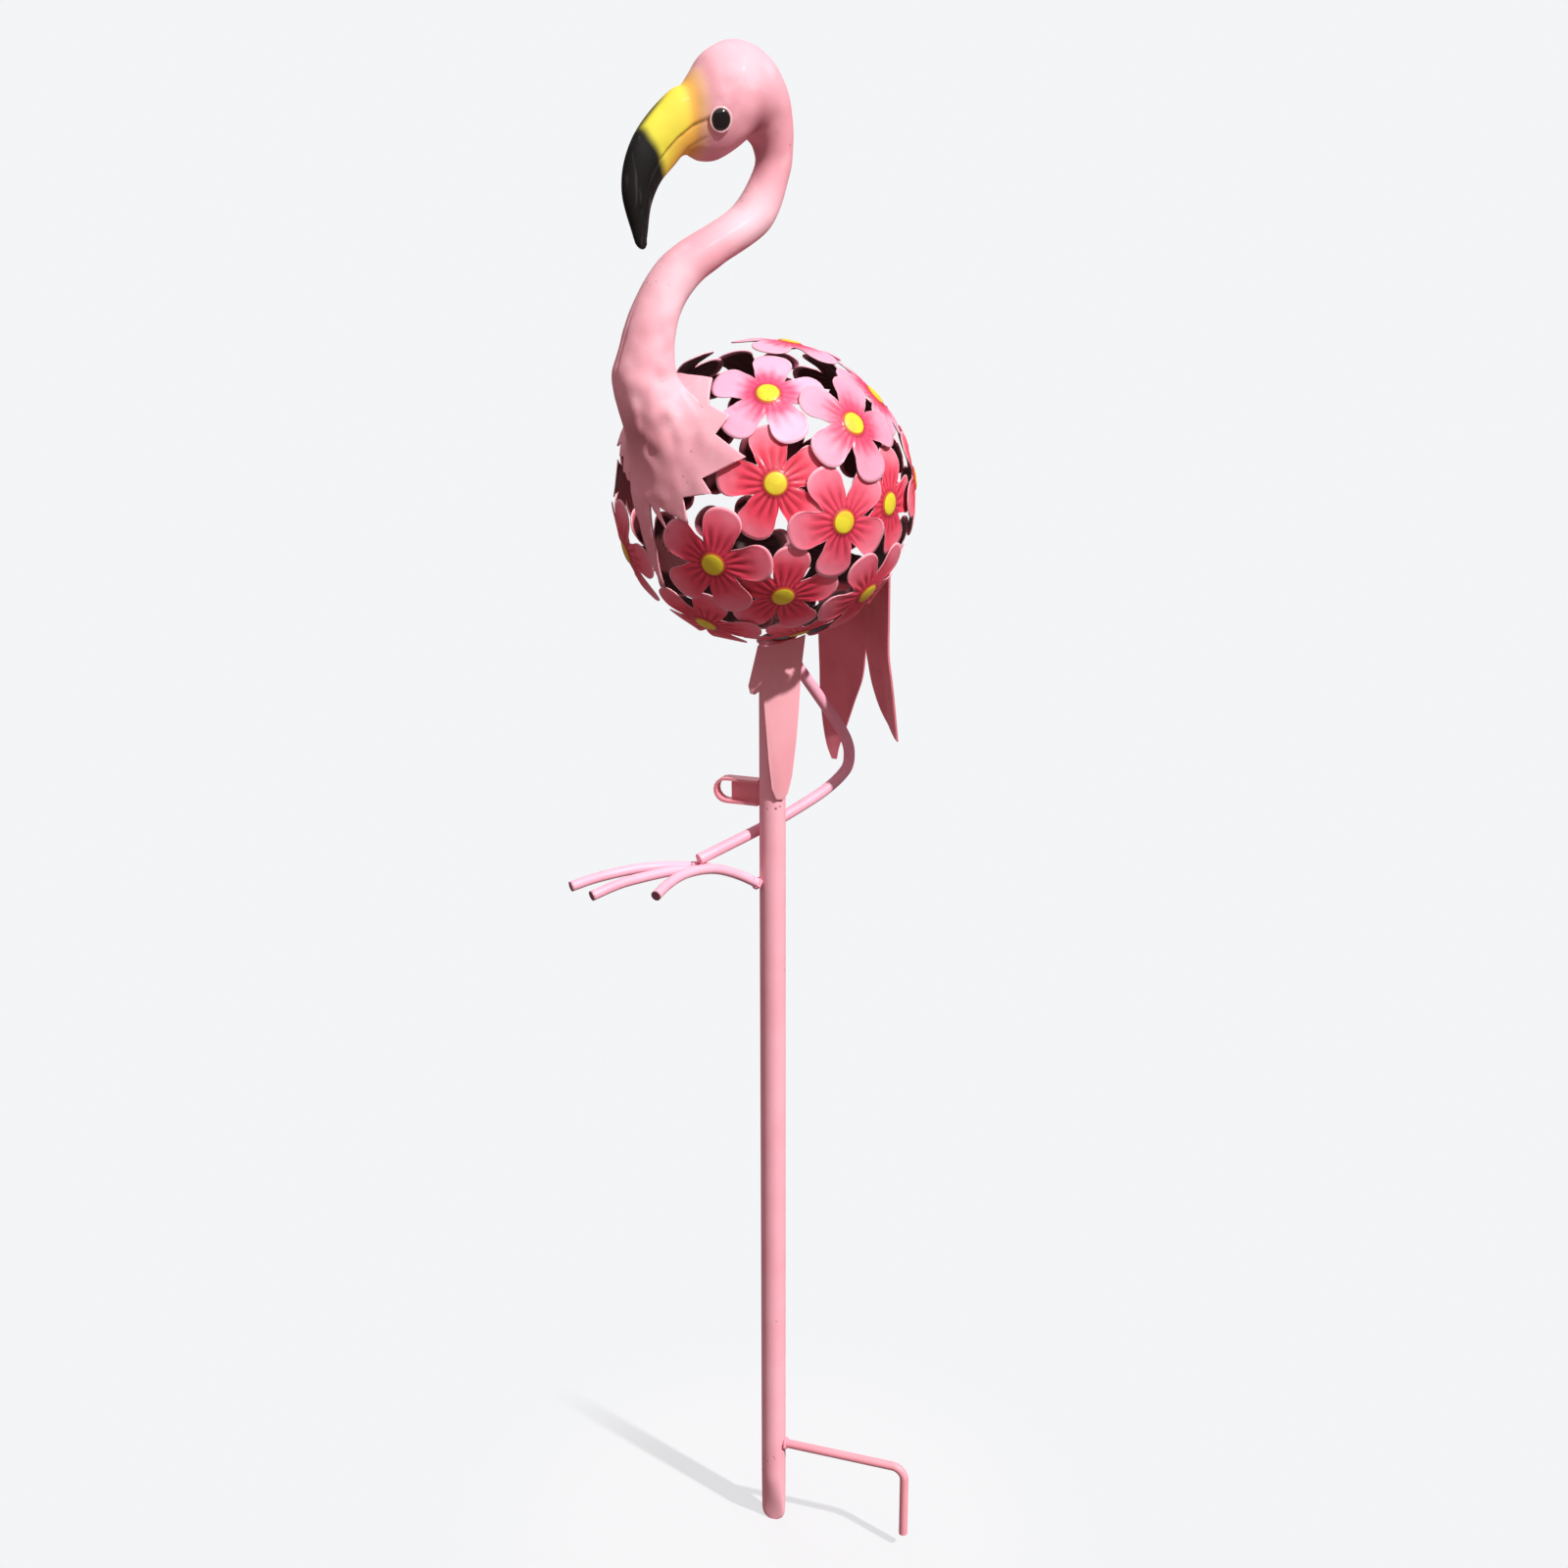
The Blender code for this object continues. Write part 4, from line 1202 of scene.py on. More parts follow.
        return height, {
            "bill": bill,
            "low_bill": np.clip(low_bill + bill * smoothstep(-0.066, -0.055, x), 0.0, 1.0),
            "black_tip": tip_side,
            "line": (0.55 * groove + 0.30 * jaw) * (1.0 - tip_side),
            # Painted highlights and painted shade, as soft patches
            "palest": self.soft_painted_light(rows, self.painted_highlight_patches),
            "shade": self.soft_painted_light(rows, self.painted_shade_patches),
        }

    def soft_painted_light(self, rows: np.ndarray, patches: tuple) -> np.ndarray:
        """Soft round patches of painted light: painted highlights and painted shade.

        Args:
            rows: Vertices, X, Y and Z on the last axis.
            patches: Each patch's strength, middle and reach.

        Returns:
            The paint's strength at each vertex.
        """
        total = np.zeros(rows.shape[:-1])
        for strength, middle, reach in patches:
            away = np.sum(((rows - np.array(middle)) / np.array(reach)) ** 2, axis=-1)
            total = total + strength * np.exp(-away)
        return np.clip(total, 0.0, self.painted_light_limit)

    def build(self) -> Object:
        """Makes the shell.

        Returns:
            The finished piece, on which the eyes are set.
        """
        rings, head_rows = self.body_rings()
        foot = BODY_STATIONS[-1]
        middle = ball_place(*foot[:2])
        outer = np.vstack((rings, self.breast(rings[-1], rings[-2], self.skin + self.sheet)))
        height, values = self.relief(outer, head_rows)
        outer_moved = outer + self.surface_normals(outer) * height[..., None]
        shrink = 1.0 - self.sheet / (foot[3] * BALL_RADIUS)
        bore = middle + (rings[-2:] - middle) * shrink
        inner = np.vstack((bore[-1:], self.breast(bore[-1], bore[-2], self.skin)))[::-1]
        grid = np.vstack((outer_moved, inner))
        rows, columns = grid.shape[:2]
        points = np.vstack((grid.reshape(-1, 3), ball_place(*self.bill_tip), middle))
        spare = len(inner) * columns + 2
        named = {label: np.concatenate((value.ravel(), np.zeros(spare))) for label, value in values.items()}
        named["black_tip"][rows * columns] = 1.0
        finish = BirdEnamel("bird_enamel", paint(243, 176, 188), paint(228, 138, 152), roughness=0.66,
                            dents=0.9, chips=0.35, coat=0.02).material()
        piece = new_piece("head_neck_breast_shell", points, shell_faces(rows, columns), finish, named)
        hand_in(piece, "body_paint", "head_neck_breast")
        return piece


@dataclass
class Eyes:
    """A glossy black bead in a pale ring on each side of the head."""

    place: tuple[float, float] = (-0.0458, 0.8952)
    radius: float = 0.0052
    ring_radius: float = 0.0064
    height: float = 0.0022
    sunk: float = 0.0012
    seat: float = 0.0004
    tallness: float = 1.14
    sides: int = 40
    bead_rows: int = 8

    def profile(self) -> list[tuple[float, float]]:
        """The turned form of ring and bead.

        Returns:
            Radius and rise, from the ring's sunk edge to just before the bead's top.
        """
        rows = [(self.ring_radius, -self.sunk), (self.ring_radius, 0.0003), (self.ring_radius * 0.97, 0.0007),
                (self.radius * 1.06, 0.0008), (self.radius * 0.99, self.seat)]
        for step in range(1, self.bead_rows):
            angle = math.pi / 2.0 * step / self.bead_rows
            rows.append((self.radius * 0.985 * math.cos(angle), self.seat + self.height * math.sin(angle)))
        return rows

    def build(self, head: Object) -> None:
        """Sets the eyes on the head.

        Args:
            head: The finished head, whose surface they sit on.
        """
        tree = BVHTree.FromPolygons([vertex.co for vertex in head.data.vertices],
                                    [polygon.vertices for polygon in head.data.polygons])
        finish = GlossBlack().material()
        profile = self.profile()
        turn = 2.0 * math.pi * np.arange(self.sides) / self.sides
        for label, side in (("left", -1.0), ("right", 1.0)):
            start = Vector((self.place[0], side * 0.1, self.place[1]))
            spot, normal, _, _ = tree.ray_cast(start, Vector((0.0, -side, 0.0)))
            facing = normal if normal.y * side > 0.0 else -normal
            up = (Vector(UP) - facing * facing.z).normalized()
            over = up.cross(facing)
            points, ring = [], []
            for radius, rise in profile:
                points += [spot + facing * rise
                           + (over * math.cos(a) + up * math.sin(a) * self.tallness) * radius for a in turn]
                ring += [float(radius > self.radius * 1.02)] * self.sides
            points += [spot - facing * self.sunk, spot + facing * (self.seat + self.height)]
            piece = new_piece(f"eye_{label}", np.array(points), shell_faces(len(profile), self.sides), finish,
                              {"ring": ring + [1.0, 0.0]})
            hand_in(piece, "body_paint")


@dataclass
class Tail:
    """The forked tail sheet, curved round the ball's back."""

    sheet: float = 0.0012
    radius_share: float = 0.845
    fork_share: float = 1.092
    rows: int = 8
    columns: int = 12
    ripple: float = 0.0004

    # Degrees round at the outer edge and at the fork's side, down and out behind in ball radii
    feathers: tuple = (
        ((-31, 0, 1.092, 0.0), (-32, -0.5, 1.27, 0.025), (-32, -3, 1.44, 0.049), (-32, -11, 1.63, 0.073),
         (-31.5, -26, 1.725, 0.084)),
        ((30, 0, 1.092, 0.0), (31, 4.5, 1.355, 0.028), (32, 11.5, 1.57, 0.051), (32, 19, 1.785, 0.077),
         (31, 24, 1.94, 0.094), (28.5, 26, 2.05, 0.101)),
    )

    def build(self) -> None:
        """Makes the tail."""
        finish = Enamel("tail_enamel", paint(236, 140, 154), paint(208, 100, 114), roughness=0.52,
                        dents=0.25, chips=0.3).material()
        inner_face = self.radius_share * BALL_RADIUS - self.sheet / 2.0
        top = math.sqrt((BALL_RADIUS + WELD_GAP) ** 2 - inner_face ** 2) / BALL_RADIUS
        points, faces = [], []
        for feather in self.feathers:
            drops = (top, (top + self.fork_share) / 2.0)
            stations = [(*feather[0][:2], drop, 0.0) for drop in drops] + list(feather)
            rows = catmull_rows(stations, [self.rows] * (len(stations) - 1))
            rows[:2 * self.rows + 1, :2] = feather[0][:2]
            first = len(points)
            for outer, inner, drop, sweep in rows:
                for column in range(self.columns + 1):
                    turn = math.radians(outer + (inner - outer) * column / self.columns)
                    wave = self.ripple * math.sin(turn * 21.0) * min(drop - top, 1.0)
                    radius = self.radius_share * BALL_RADIUS + wave
                    points.append((BALL_CENTRE[0] + radius * math.cos(turn) + sweep * BALL_RADIUS,
                                   radius * math.sin(turn), BALL_CENTRE[2] - drop * BALL_RADIUS))
            faces += [tuple(first + corner for corner in face)
                      for face in grid_faces(len(rows), self.columns + 1, False)]
        piece = new_piece("tail_sheet", np.array(points), faces, finish)
        face_out(piece.data, merge=0.00001)
        shell = piece.modifiers.new("sheet", "SOLIDIFY")
        shell.thickness = self.sheet
        shell.offset = 0.0
        settle(piece)
        piece.data.set_sharp_from_angle(angle=math.radians(40.0))
        hand_in(piece, "tail_paint", "tail_feathers")


@dataclass
class ThighPlate:
    """The flat tapered plate on the tube's left side, with its edges eased."""

    sheet: float = 0.0015
    skin: float = BALL_RADIUS + WELD_GAP
    top: tuple[float, float] = (-0.178, 0.200)
    top_spans: int = 8
    easing: float = 0.00035
    down_edge: tuple = (
        (0.163, 1.222), (0.148, 1.470), (0.128, 1.686), (0.092, 1.946), (0.058, 2.065), (0.024, 2.108),
        (-0.039, 2.097), (-0.076, 2.011), (-0.102, 1.805), (-0.141, 1.362),
        (-0.164, 1.308), (-0.211, 1.330), (-0.240, 1.319), (-0.255, 1.265),
    )

    def build(self) -> None:
        """Makes the plate."""
        finish = Enamel("plate_enamel", paint(246, 178, 188), paint(236, 152, 164), roughness=0.52,
                        dents=0.2, chips=0.5).material()
        side = TUBE_RADIUS + WELD_GAP + self.sheet / 2.0
        outline = []
        for step in range(self.top_spans + 1):
            x = (self.top[0] + (self.top[1] - self.top[0]) * step / self.top_spans) * BALL_RADIUS
            drop = math.sqrt(self.skin ** 2 - (x - BALL_CENTRE[0]) ** 2 - side ** 2)
            outline.append((x, BALL_CENTRE[2] - drop - WELD_GAP))
        outline += [(back * BALL_RADIUS, BALL_CENTRE[2] - down * BALL_RADIUS)
                    for back, down in self.down_edge]
        work = bmesh.new()
        near = [work.verts.new((x, -side - self.sheet / 2.0, z)) for x, z in outline]
        face = work.faces.new(near)
        grown = bmesh.ops.extrude_face_region(work, geom=[face])
        moved = [item for item in grown["geom"] if isinstance(item, bmesh.types.BMVert)]
        bmesh.ops.translate(work, verts=moved, vec=(0.0, self.sheet, 0.0))
        bmesh.ops.recalc_face_normals(work, faces=work.faces)
        rims = [edge for edge in work.edges if abs(edge.verts[0].co.y - edge.verts[1].co.y) < 1e-6]
        bmesh.ops.bevel(work, geom=rims, offset=self.easing, segments=2, affect="EDGES", profile=0.5)
        mesh = bpy.data.meshes.new("thigh_sheet")
        work.to_mesh(mesh)
        work.free()
        mesh.materials.append(finish)
        mesh.shade_smooth()
        mesh.set_sharp_from_angle(angle=math.radians(35.0))
        hand_in(add_object("thigh_sheet", mesh), "thigh_paint", "thigh_plate")


@dataclass
class StakeTube:
    """The tube, with its end pressed flat, rounded off and creased on both faces."""

    top: float = BALL_CENTRE[2] - BALL_RADIUS - WELD_GAP
    sides: int = 64
    straight_rows: int = 24
    pinch_rows: int = 22
    pinch_length: float = 0.042
    pinch_thickness: float = 0.005
    pinch_rounding: float = 0.009
    pinch_squareness: float = 0.45
    tip_flat: float = 0.008

    def build(self) -> None:
        """Makes the tube."""
        finish = Enamel("stake_enamel", paint(248, 184, 196), paint(238, 160, 174), roughness=0.50,
                        dents=0.1, chips=0.9, coat=0.08).material()
        length = self.top + TUBE_BELOW - self.pinch_length
        heights = [(self.top - length * step / self.straight_rows, 0.0)
                   for step in range(self.straight_rows + 1)]
        heights += [(-TUBE_BELOW + self.pinch_length * (1.0 - step / self.pinch_rows), step / self.pinch_rows)
                    for step in range(1, self.pinch_rows + 1)]
        across = np.array((-PRONG_WAY[1], PRONG_WAY[0], 0.0))
        angle = 2.0 * math.pi * np.arange(self.sides) / self.sides
        rings = []
        for height, pinch in heights:
            ease = pinch * pinch * (3.0 - 2.0 * pinch)
            from_tip = height + TUBE_BELOW
            wide = TUBE_RADIUS
            if from_tip < self.pinch_rounding:
                drop = 1.0 - from_tip / self.pinch_rounding
                wide = self.tip_flat / 2.0 + (TUBE_RADIUS - self.tip_flat / 2.0) * math.sqrt(1.0 - drop ** 2)
            thick = TUBE_RADIUS + (self.pinch_thickness / 2.0 - TUBE_RADIUS) * ease
            square = np.abs(np.sin(angle)) ** (1.0 - self.pinch_squareness * ease)
            flat = np.sign(np.sin(angle)) * square
            ring = PRONG_WAY * (np.cos(angle) * wide)[:, None] + across * (flat * thick)[:, None]
            rings.append(ring + UP * height)
        points = np.vstack((*rings, (0.0, 0.0, self.top), (0.0, 0.0, -TUBE_BELOW)))
        piece = new_piece("stake_tube_skin", points, shell_faces(len(rings), self.sides), finish)
        piece.data.set_sharp_from_angle(angle=math.radians(50.0))
        hand_in(piece, "stake_paint", "stake_tube")


@dataclass
class Rods:
    """The folded leg, the toes and the foot prong: round rods swept along their paths."""

    leg_diameter: float = 0.0075
    toe_diameter: float = 0.0065
    toe_length: float = 0.085
    hind_toe_drop: float = 0.013
    hind_toe_slope: float = math.radians(33.0)
    hind_toe_shift: float = -1.5
    prong_diameter: float = 0.006
    prong_reach: float = 0.097
    prong_bend: float = 0.009
    prong_drop: float = 0.050
    prong_rows: int = 14
    sides: int = 20
    steps: int = 10

    # In ball radii: back of the tube's axis, down from the ball's middle
    leg_route: tuple = (
        (0.133, 1.017), (0.333, 1.292), (0.474, 1.481), (0.628, 1.692), (0.716, 1.838), (0.742, 1.957),
        (0.708, 2.065), (0.525, 2.188), (0.195, 2.317), (-0.027, 2.382), (-0.519, 2.514),
    )
    # From the leg's end: back in toe lengths, to the bird's right in spacings, up in toe lengths
    toes: tuple = (
        ("toe_far", ((0.05, 1.0, 0.0), (-0.07, 1.02, 0.018), (-0.264, 1.2, 0.052), (-0.5, 1.8, 0.056),
                     (-0.778, 2.3, 0.033), (-0.978, 2.6, -0.004))),
        ("toe_middle", ((0.08, 0.0, -0.003), (-0.07, 0.0, 0.010), (-0.238, 0.0, 0.038),
                        (-0.58, 0.0, 0.031), (-0.739, 0.0, 0.012), (-0.915, 0.0, -0.027))),
        ("toe_near_and_hind", ((-0.539, -3.6, -0.014), (-0.397, -2.6, 0.021), (-0.24, -1.8, 0.045),
                               (-0.069, -1.2, 0.040), (0.085, -1.0, 0.017), (0.21, -1.0, -0.027),
                               (0.326, -1.2, -0.083))),
    )

    def tree(self) -> NodeTree:
        """Geometry nodes that sweep a round rod along a line of points.

        Returns:
            The tree.
        """
        graph = GeometryTree("swept_rod", Radius=0.003, Sides=20)
        path = graph.add("GeometryNodeMeshToCurve", Mesh=graph.given["Geometry"])
        section = graph.add("GeometryNodeCurvePrimitiveCircle", Resolution=graph.given["Sides"],
                            Radius=graph.given["Radius"])
        swept = graph.add("GeometryNodeCurveToMesh", Curve=path.outputs[0],
                          Profile_Curve=section.outputs[0], Fill_Caps=True)
        return graph.dress(swept.outputs[0])

    def sweep(self, name: str, path: np.ndarray, diameter: float, tree: NodeTree,
              finish: Material, slot: str, node: str, cut_end: Optional[int] = None) -> None:
        """Makes one rod.

        Args:
            name: Name of the piece.
            path: Its middle line.
            diameter: The rod's diameter.
            tree: The sweeping nodes.
            finish: Its material.
            slot: Name of its material slot, which is only logged.
            node: The solid that it replaces.
            cut_end: Which end's face gets painted shade, 0 for the first or -1 for the last.
        """
        piece = point_piece(name, path, chained=True)
        run_nodes(piece, tree, {"Radius": diameter / 2.0, "Sides": self.sides, "Finish": finish})
        face_out(piece.data, merge=0.000001)
        places = np.array([vertex.co for vertex in piece.data.vertices])
        bare = np.zeros(len(places))
        # The cut end's face is marked for painted shade
        if cut_end is not None:
            end, inner = path[cut_end], path[1 if cut_end == 0 else -2]
            away = (places - end) @ ((inner - end) / np.linalg.norm(inner - end))
            near = np.linalg.norm(places - end, axis=1) < diameter
            bare = 0.85 * near * smoothstep(0.0006, 0.0001, away)
        keep_values(piece.data, {"bare": bare})
        piece.data.set_sharp_from_angle(angle=math.radians(50.0))
        hand_in(piece, slot, node)

    def leg_points(self) -> np.ndarray:
        """The folded leg's route.

        Returns:
            Points of the route.
        """
        side = TUBE_RADIUS + self.leg_diameter / 2.0 + WELD_GAP
        return np.array([(back * BALL_RADIUS, side, BALL_CENTRE[2] - down * BALL_RADIUS)
                         for back, down in self.leg_route])

    def toe_points(self, route: Sequence[Sequence[float]], hind: bool) -> np.ndarray:
        """One toe's route under the leg's end.

        Args:
            route: Its places from the leg's end.
            hind: Whether it goes on back to the tube.

        Returns:
            Points of the route.
        """
        ankle = self.leg_points()[-1]
        level = ankle[2] - self.leg_diameter / 2.0 - self.toe_diameter / 2.0 - WELD_GAP
        spacing = self.toe_diameter + WELD_GAP
        points = [(ankle[0] + back * self.toe_length, ankle[1] + shift * spacing,
                   level + up * self.toe_length) for back, shift, up in route]
        if hind:
            away = TUBE_RADIUS + self.toe_diameter / 2.0 * math.sin(self.hind_toe_slope) + WELD_GAP
            side = ankle[1] + self.hind_toe_shift * spacing
            points.append((-math.sqrt(away ** 2 - side ** 2), side, level - self.hind_toe_drop))
        return np.array(points)

    def prong_points(self) -> np.ndarray:
        """The foot prong's route: out from the tube, then down.

        Returns:
            Points of the route.
        """
        radius = self.prong_diameter / 2.0
        points = [PRONG_WAY * (TUBE_RADIUS + WELD_GAP) + UP * radius]
        for step in range(self.prong_rows + 1):
            angle = math.pi / 2.0 * step / self.prong_rows
            out = self.prong_reach - self.prong_bend + self.prong_bend * math.sin(angle)
            points.append(PRONG_WAY * out + UP * (radius - self.prong_bend * (1.0 - math.cos(angle))))
        points.append(PRONG_WAY * self.prong_reach - UP * self.prong_drop)
        return np.array(points)

    def build(self) -> None:
        """Makes all the rods."""
        tree = self.tree()
        leg = Enamel("leg_enamel", paint(247, 186, 206), paint(236, 156, 178), roughness=0.55,
                     dents=0.1, chips=0.6, coat=0.05).material()
        prong = Enamel("prong_enamel", paint(242, 168, 180), paint(226, 136, 150), roughness=0.50,
                       dents=0.1, chips=0.7, coat=0.08).material()
        path = catmull_rows(self.leg_points(), [self.steps] * (len(self.leg_route) - 1))
        self.sweep("leg_rod", path, self.leg_diameter, tree, leg, "leg_paint", "bent_leg")
        for node, route in self.toes:
            points = self.toe_points(route, node == "toe_near_and_hind")
            path = catmull_rows(points, [self.steps] * (len(points) - 1))
            self.sweep(node + "_rod", path, self.toe_diameter, tree, leg, "leg_paint", node,
                       0 if node == "toe_near_and_hind" else -1)
        self.sweep("prong_rod", self.prong_points(), self.prong_diameter, tree, prong, "stake_paint",
                   "foot_prong")


@dataclass
class Welds:
    """Painted-over weld beads where the pieces meet, made by geometry nodes."""

    bead: float = 0.0011
    seed: int = 5
    sizes: tuple[float, float] = (0.8, 1.25)

    def tree(self) -> NodeTree:
        """Geometry nodes that heap small uneven beads on points.

        Returns:
            The tree.
        """
        graph = GeometryTree("weld_beads", Bead_Radius=0.001, Seed=5)
        bead = graph.add("GeometryNodeMeshIcoSphere", Radius=graph.given["Bead Radius"], Subdivisions=3)
        size = graph.add("FunctionNodeRandomValue", {"data_type": "FLOAT"}, Seed=graph.given["Seed"])
        graph.feed(size.inputs[2], self.sizes[0])
        graph.feed(size.inputs[3], self.sizes[1])
        placed = graph.add("GeometryNodeInstanceOnPoints", Points=graph.given["Geometry"],
                           Instance=bead.outputs["Mesh"], Scale=size.outputs[1])
        return graph.dress(placed.outputs[0])

    @staticmethod
    def ring(middle: np.ndarray, axis: np.ndarray, radius: float, count: int) -> np.ndarray:
        """Points on a circle.

        Args:
            middle: The circle's centre.
            axis: Its axis.
            radius: Its radius.
            count: Number of points.

        Returns:
            The points.
        """
        axis = axis / np.linalg.norm(axis)
        helper = UP if abs(axis[2]) < 0.9 else np.array((1.0, 0.0, 0.0))
        one = np.cross(axis, helper)
        one = one / np.linalg.norm(one)
        turn = np.radians(360.0 * np.arange(count) / count)[:, None]
        return middle + radius * (np.cos(turn) * one + np.sin(turn) * np.cross(axis, one))

    @staticmethod
    def seam_pair(start: np.ndarray, end: np.ndarray, count: int, apart: float, rise: float) -> np.ndarray:
        """Points on two lines that rise over a rod's welded stretch, apart from its middle."""
        return np.vstack([np.linspace(start, end, count) + (0.0, side * apart, rise) for side in (-1.0, 1.0)])

    def build(self, rods: Rods) -> None:
        """Makes the beads.

        Args:
            rods: The rods, whose ends are welded.
        """
        finish = Enamel("weld_enamel", paint(244, 170, 188), paint(222, 130, 150), roughness=0.55,
                        dents=0.0, chips=0.4, coat=0.05).material()
        tree, prong, leg = self.tree(), rods.prong_points(), rods.leg_points()
        toes = {name: rods.toe_points(route, name == "toe_near_and_hind") for name, route in rods.toes}
        middle_toe, hind = toes["toe_middle"][0], toes["toe_near_and_hind"][-1]
        prong_radius = rods.prong_diameter / 2.0
        leg_radius = rods.leg_diameter / 2.0
        toe_radius = rods.toe_diameter / 2.0
        back = np.array((1.0, 0.0, 0.0))
        seats = {
            "prong_weld": self.ring(prong[0] + PRONG_WAY * 0.0004, PRONG_WAY, prong_radius + 0.0004, 18),
            "leg_weld": self.ring(leg[0], leg[1] - leg[0], leg_radius, 20),
            "toe_weld": self.seam_pair(middle_toe, middle_toe - back * 0.014, 11, toe_radius,
                                       toe_radius - 0.0006),
            "ankle_weld": self.seam_pair(leg[-1] + back * 0.006, leg[-1] - back * 0.003, 12,
                                         0.80 * leg_radius, -leg_radius),
            "hind_toe_weld": self.ring(hind, back - UP * 0.65, toe_radius, 16),
            "tube_weld": self.ring(UP * StakeTube.top, UP, TUBE_RADIUS + 0.0002, 34),
        }
        for name, points in seats.items():
            piece = point_piece(name, points)
            run_nodes(piece, tree, {"Bead Radius": self.bead, "Seed": self.seed, "Finish": finish})
            hand_in(piece, "leg_paint" if "leg" in name or "toe" in name else "stake_paint")


@dataclass
class LoopBracket:
    """The hairpin bracket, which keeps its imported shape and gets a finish."""

    def build(self) -> None:
        """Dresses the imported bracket."""
        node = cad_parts["loop_bracket"]
        finish = Enamel("bracket_enamel", paint(244, 160, 174), paint(222, 118, 134), roughness=0.42,
                        dents=0.1, chips=0.8).material()
        node.data.materials.clear()
        node.data.materials.append(finish)
        log.info("loop_bracket keeps its packed shape")


@dataclass(frozen=True)
class Sun:
    """A far light, its place given by the camera's right, the way towards the camera, and up."""

    name: str
    right: float
    toward: float
    up: float
    strength: float
    width: float
    colour: tuple[float, float, float]

    def shine(self) -> None:
        """Lights the sun; its apparent width in degrees softens its shadows."""
        light = bpy.data.lights.new(self.name, "SUN")
        light.energy = self.strength
        light.angle = math.radians(self.width)
        light.color = self.colour
        source = (Vector((0.8387, -0.5446, 0.0)) * self.right + Vector((-0.5446, -0.8387, 0.0)) * self.toward
                  + Vector(UP) * self.up)
        add_object(self.name, light).rotation_euler = (-source).to_track_quat("-Z", "Y").to_euler()


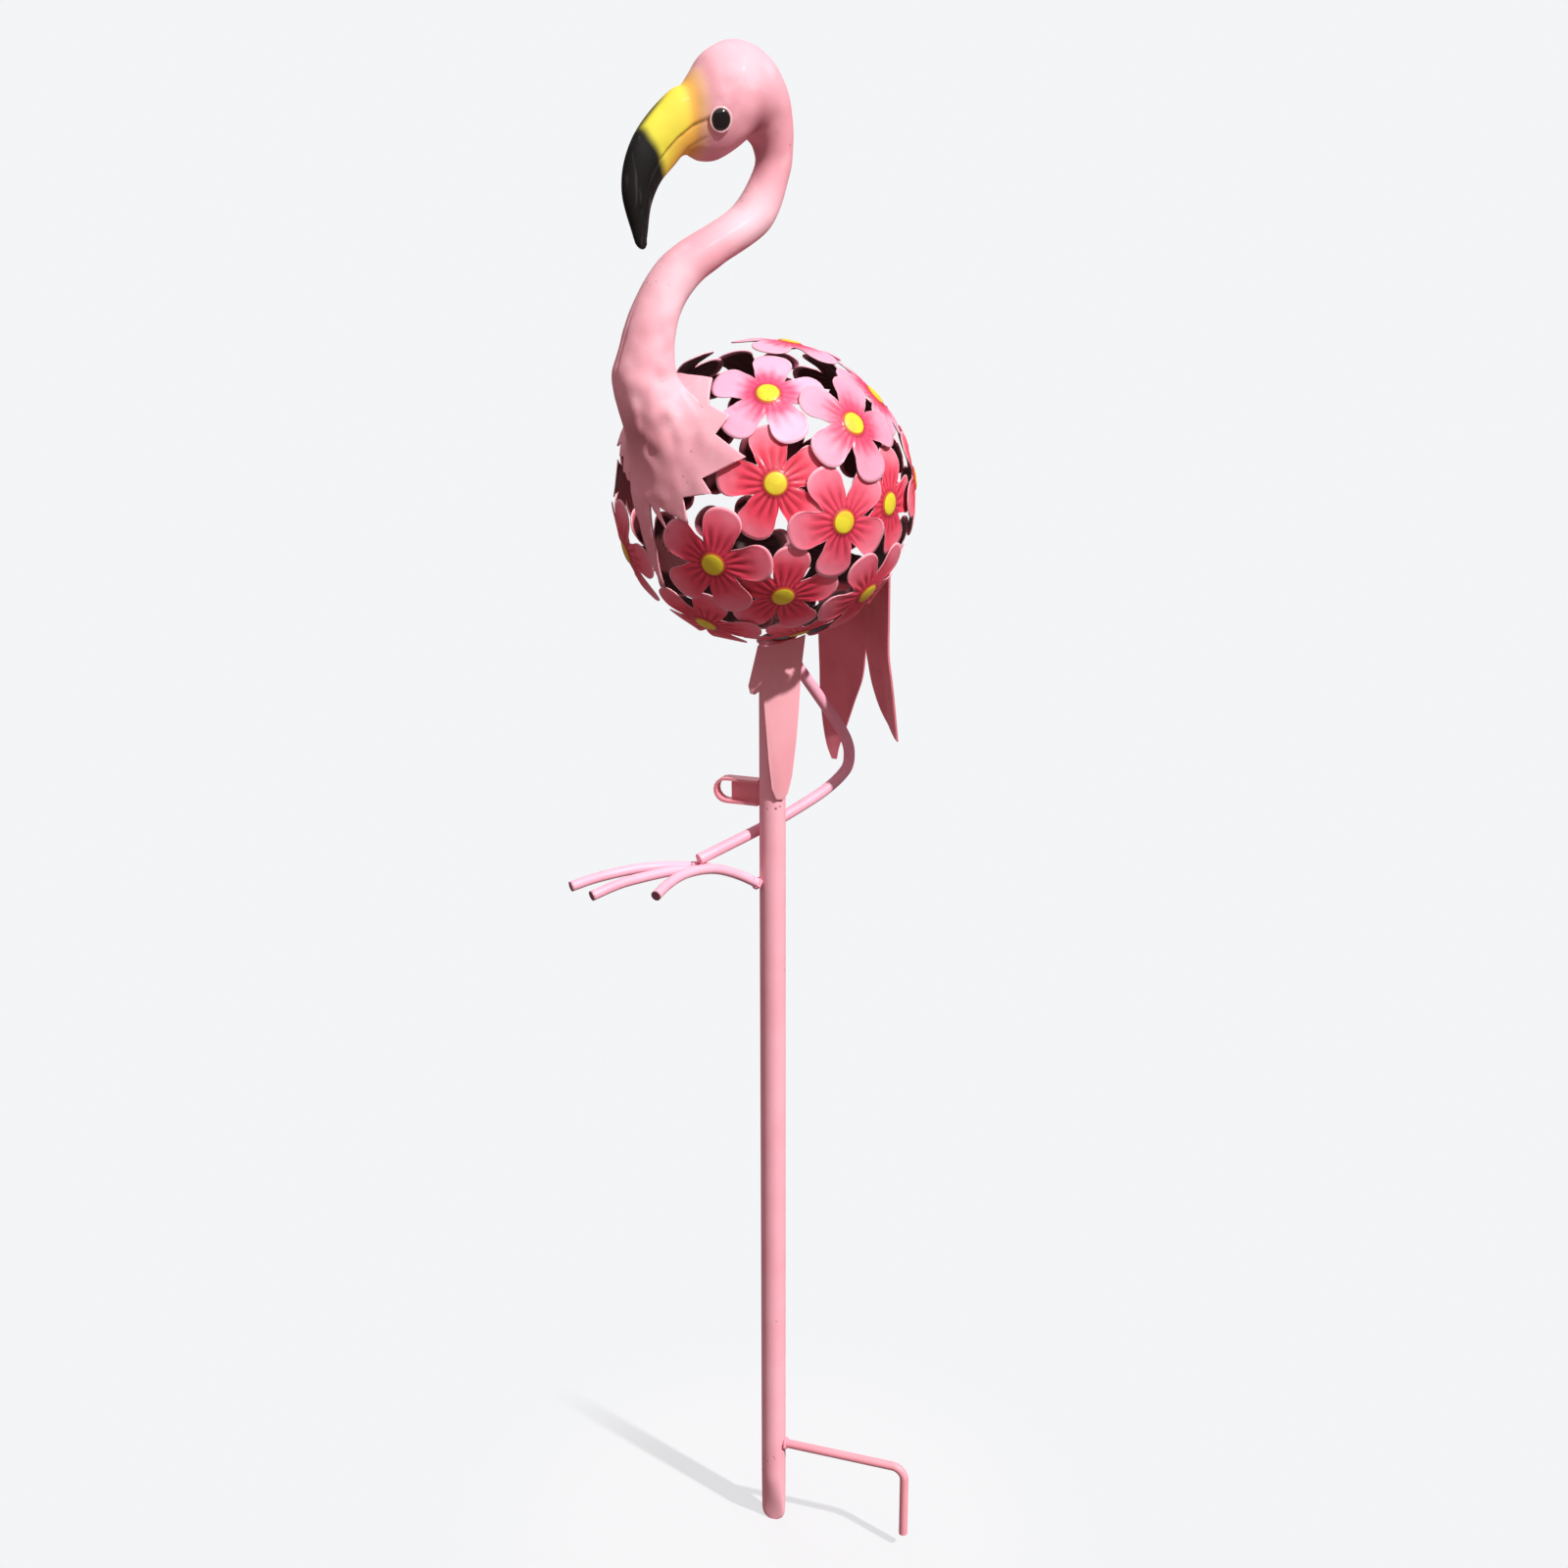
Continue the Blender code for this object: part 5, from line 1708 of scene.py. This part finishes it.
@dataclass
class Studio:
    """The pale floor and backdrop, the lights and the camera."""

    camera_place: tuple[float, float, float] = (-0.6503, -1.0151, 0.854)
    camera_look: tuple[float, float, float] = (0.5216, 0.8033, -0.2874)
    lens: float = 45.0
    sensor: float = 36.0
    floor_radius: float = 7.0
    floor_rings: tuple[float, float] = (0.6, 2.0)
    dome_rows: int = 17
    sides: int = 96
    pale: Colour = (0.900, 0.910, 0.926, 1.0)
    light_grey: Colour = (0.70, 0.71, 0.72, 1.0)
    dark_grey: Colour = (0.67, 0.68, 0.69, 1.0)
    shadow_reach: tuple[float, float] = (0.26, 0.11)
    floor_shadow: float = 0.30
    fill_colour: Colour = (1.0, 0.66, 0.66, 1.0)
    fill_strength: float = 0.26
    suns: tuple[Sun, ...] = (
        Sun("key", 0.50, 0.45, 0.74, 4.1, 1.6, (1.0, 0.985, 0.965)),
        Sun("sky", 0.0, 0.25, 1.0, 0.70, 90.0, (0.95, 0.97, 1.0)),
        Sun("back", -0.35, -0.9, 0.5, 0.5, 50.0, (0.96, 0.97, 1.0)),
    )

    def stage_piece(self, name: str, points: np.ndarray, faces: Faces, shadowed: float) -> None:
        """A pale stage piece that throws no light on the bird and takes its shadow near the tube.

        Args:
            name: Name of the piece.
            points: Its vertices.
            faces: Its faces.
            shadowed: Share of its tone that the lights give close to the tube.
        """
        material, graph, shader, place = start_material(name + "_paint")
        away = graph.add("ShaderNodeVectorMath", {"operation": "LENGTH"}, Vector=place).outputs["Value"]
        near = graph.times(graph.step(away, *self.shadow_reach), shadowed)
        dark = (0.0, 0.0, 0.0, 1.0)
        uneven = graph.mix(graph.noise(place, 2.0), self.light_grey, self.dark_grey)
        graph.wire(shader, Base_Color=graph.mix(near, dark, uneven), Roughness=1.0, Specular_IOR_Level=0.0,
                   Emission_Color=graph.mix(near, self.pale, dark), Emission_Strength=1.0)
        piece = new_piece(name, points, faces, material)
        piece.visible_diffuse = False
        piece.visible_glossy = False
        piece.visible_shadow = False

    def stage(self) -> None:
        """A round floor and a dome that meets it all round, so that no horizon shows."""
        floor_level = UP * min(CAD_BOX[0][2], -TUBE_BELOW)
        turn = 2.0 * math.pi * np.arange(self.sides) / self.sides
        ring = np.stack((np.cos(turn), np.sin(turn), turn * 0.0), -1)
        rings = [ring * out + floor_level for out in (*self.floor_rings, self.floor_radius)]
        total = len(rings) * self.sides
        faces = grid_faces(len(rings), self.sides, True) + cap_faces(0, self.sides, total)
        self.stage_piece("floor", np.vstack((*rings, floor_level)), faces, self.floor_shadow)
        rows = []
        for step in range(self.dome_rows):
            rise = math.pi / 2.0 * step / self.dome_rows
            rows.append((ring * math.cos(rise) + UP * math.sin(rise)) * self.floor_radius + floor_level)
        total = self.dome_rows * self.sides
        faces = grid_faces(self.dome_rows, self.sides, True)
        faces += cap_faces(total - self.sides, self.sides, total)
        self.stage_piece("backdrop", np.vstack((*rows, UP * self.floor_radius + floor_level)), faces, 0.0)

    def lights(self) -> None:
        """A sun-like key from the upper right, soft light from above and behind, and a warm fill."""
        for sun in self.suns:
            sun.shine()
        world = bpy.data.worlds.new("studio")
        world.use_nodes = True
        fill = world.node_tree.nodes["Background"]
        fill.inputs["Color"].default_value = self.fill_colour
        fill.inputs["Strength"].default_value = self.fill_strength
        bpy.context.scene.world = world

    def camera(self) -> None:
        """The camera where the photo's was."""
        data = bpy.data.cameras.new("camera")
        data.lens = self.lens
        data.sensor_width = self.sensor
        data.clip_start = 0.01
        data.clip_end = 50.0
        camera = add_object("camera", data)
        camera.location = self.camera_place
        camera.rotation_euler = Vector(self.camera_look).to_track_quat("-Z", "Y").to_euler()
        bpy.context.scene.camera = camera

    def build(self) -> None:
        """Sets up the studio."""
        self.camera()
        self.lights()
        self.stage()
        bpy.context.scene.view_settings.view_transform = "Standard"


def main() -> None:
    """Builds the pieces in order."""
    logging.basicConfig(level=logging.INFO, format="%(name)s %(message)s")
    Studio().build()
    head = HeadNeckBreast().build()
    Eyes().build(head)
    FlowerBall().build()
    Tail().build()
    ThighPlate().build()
    StakeTube().build()
    rods = Rods()
    rods.build()
    Welds().build(rods)
    LoopBracket().build()


if __name__ == "__main__":
    main()
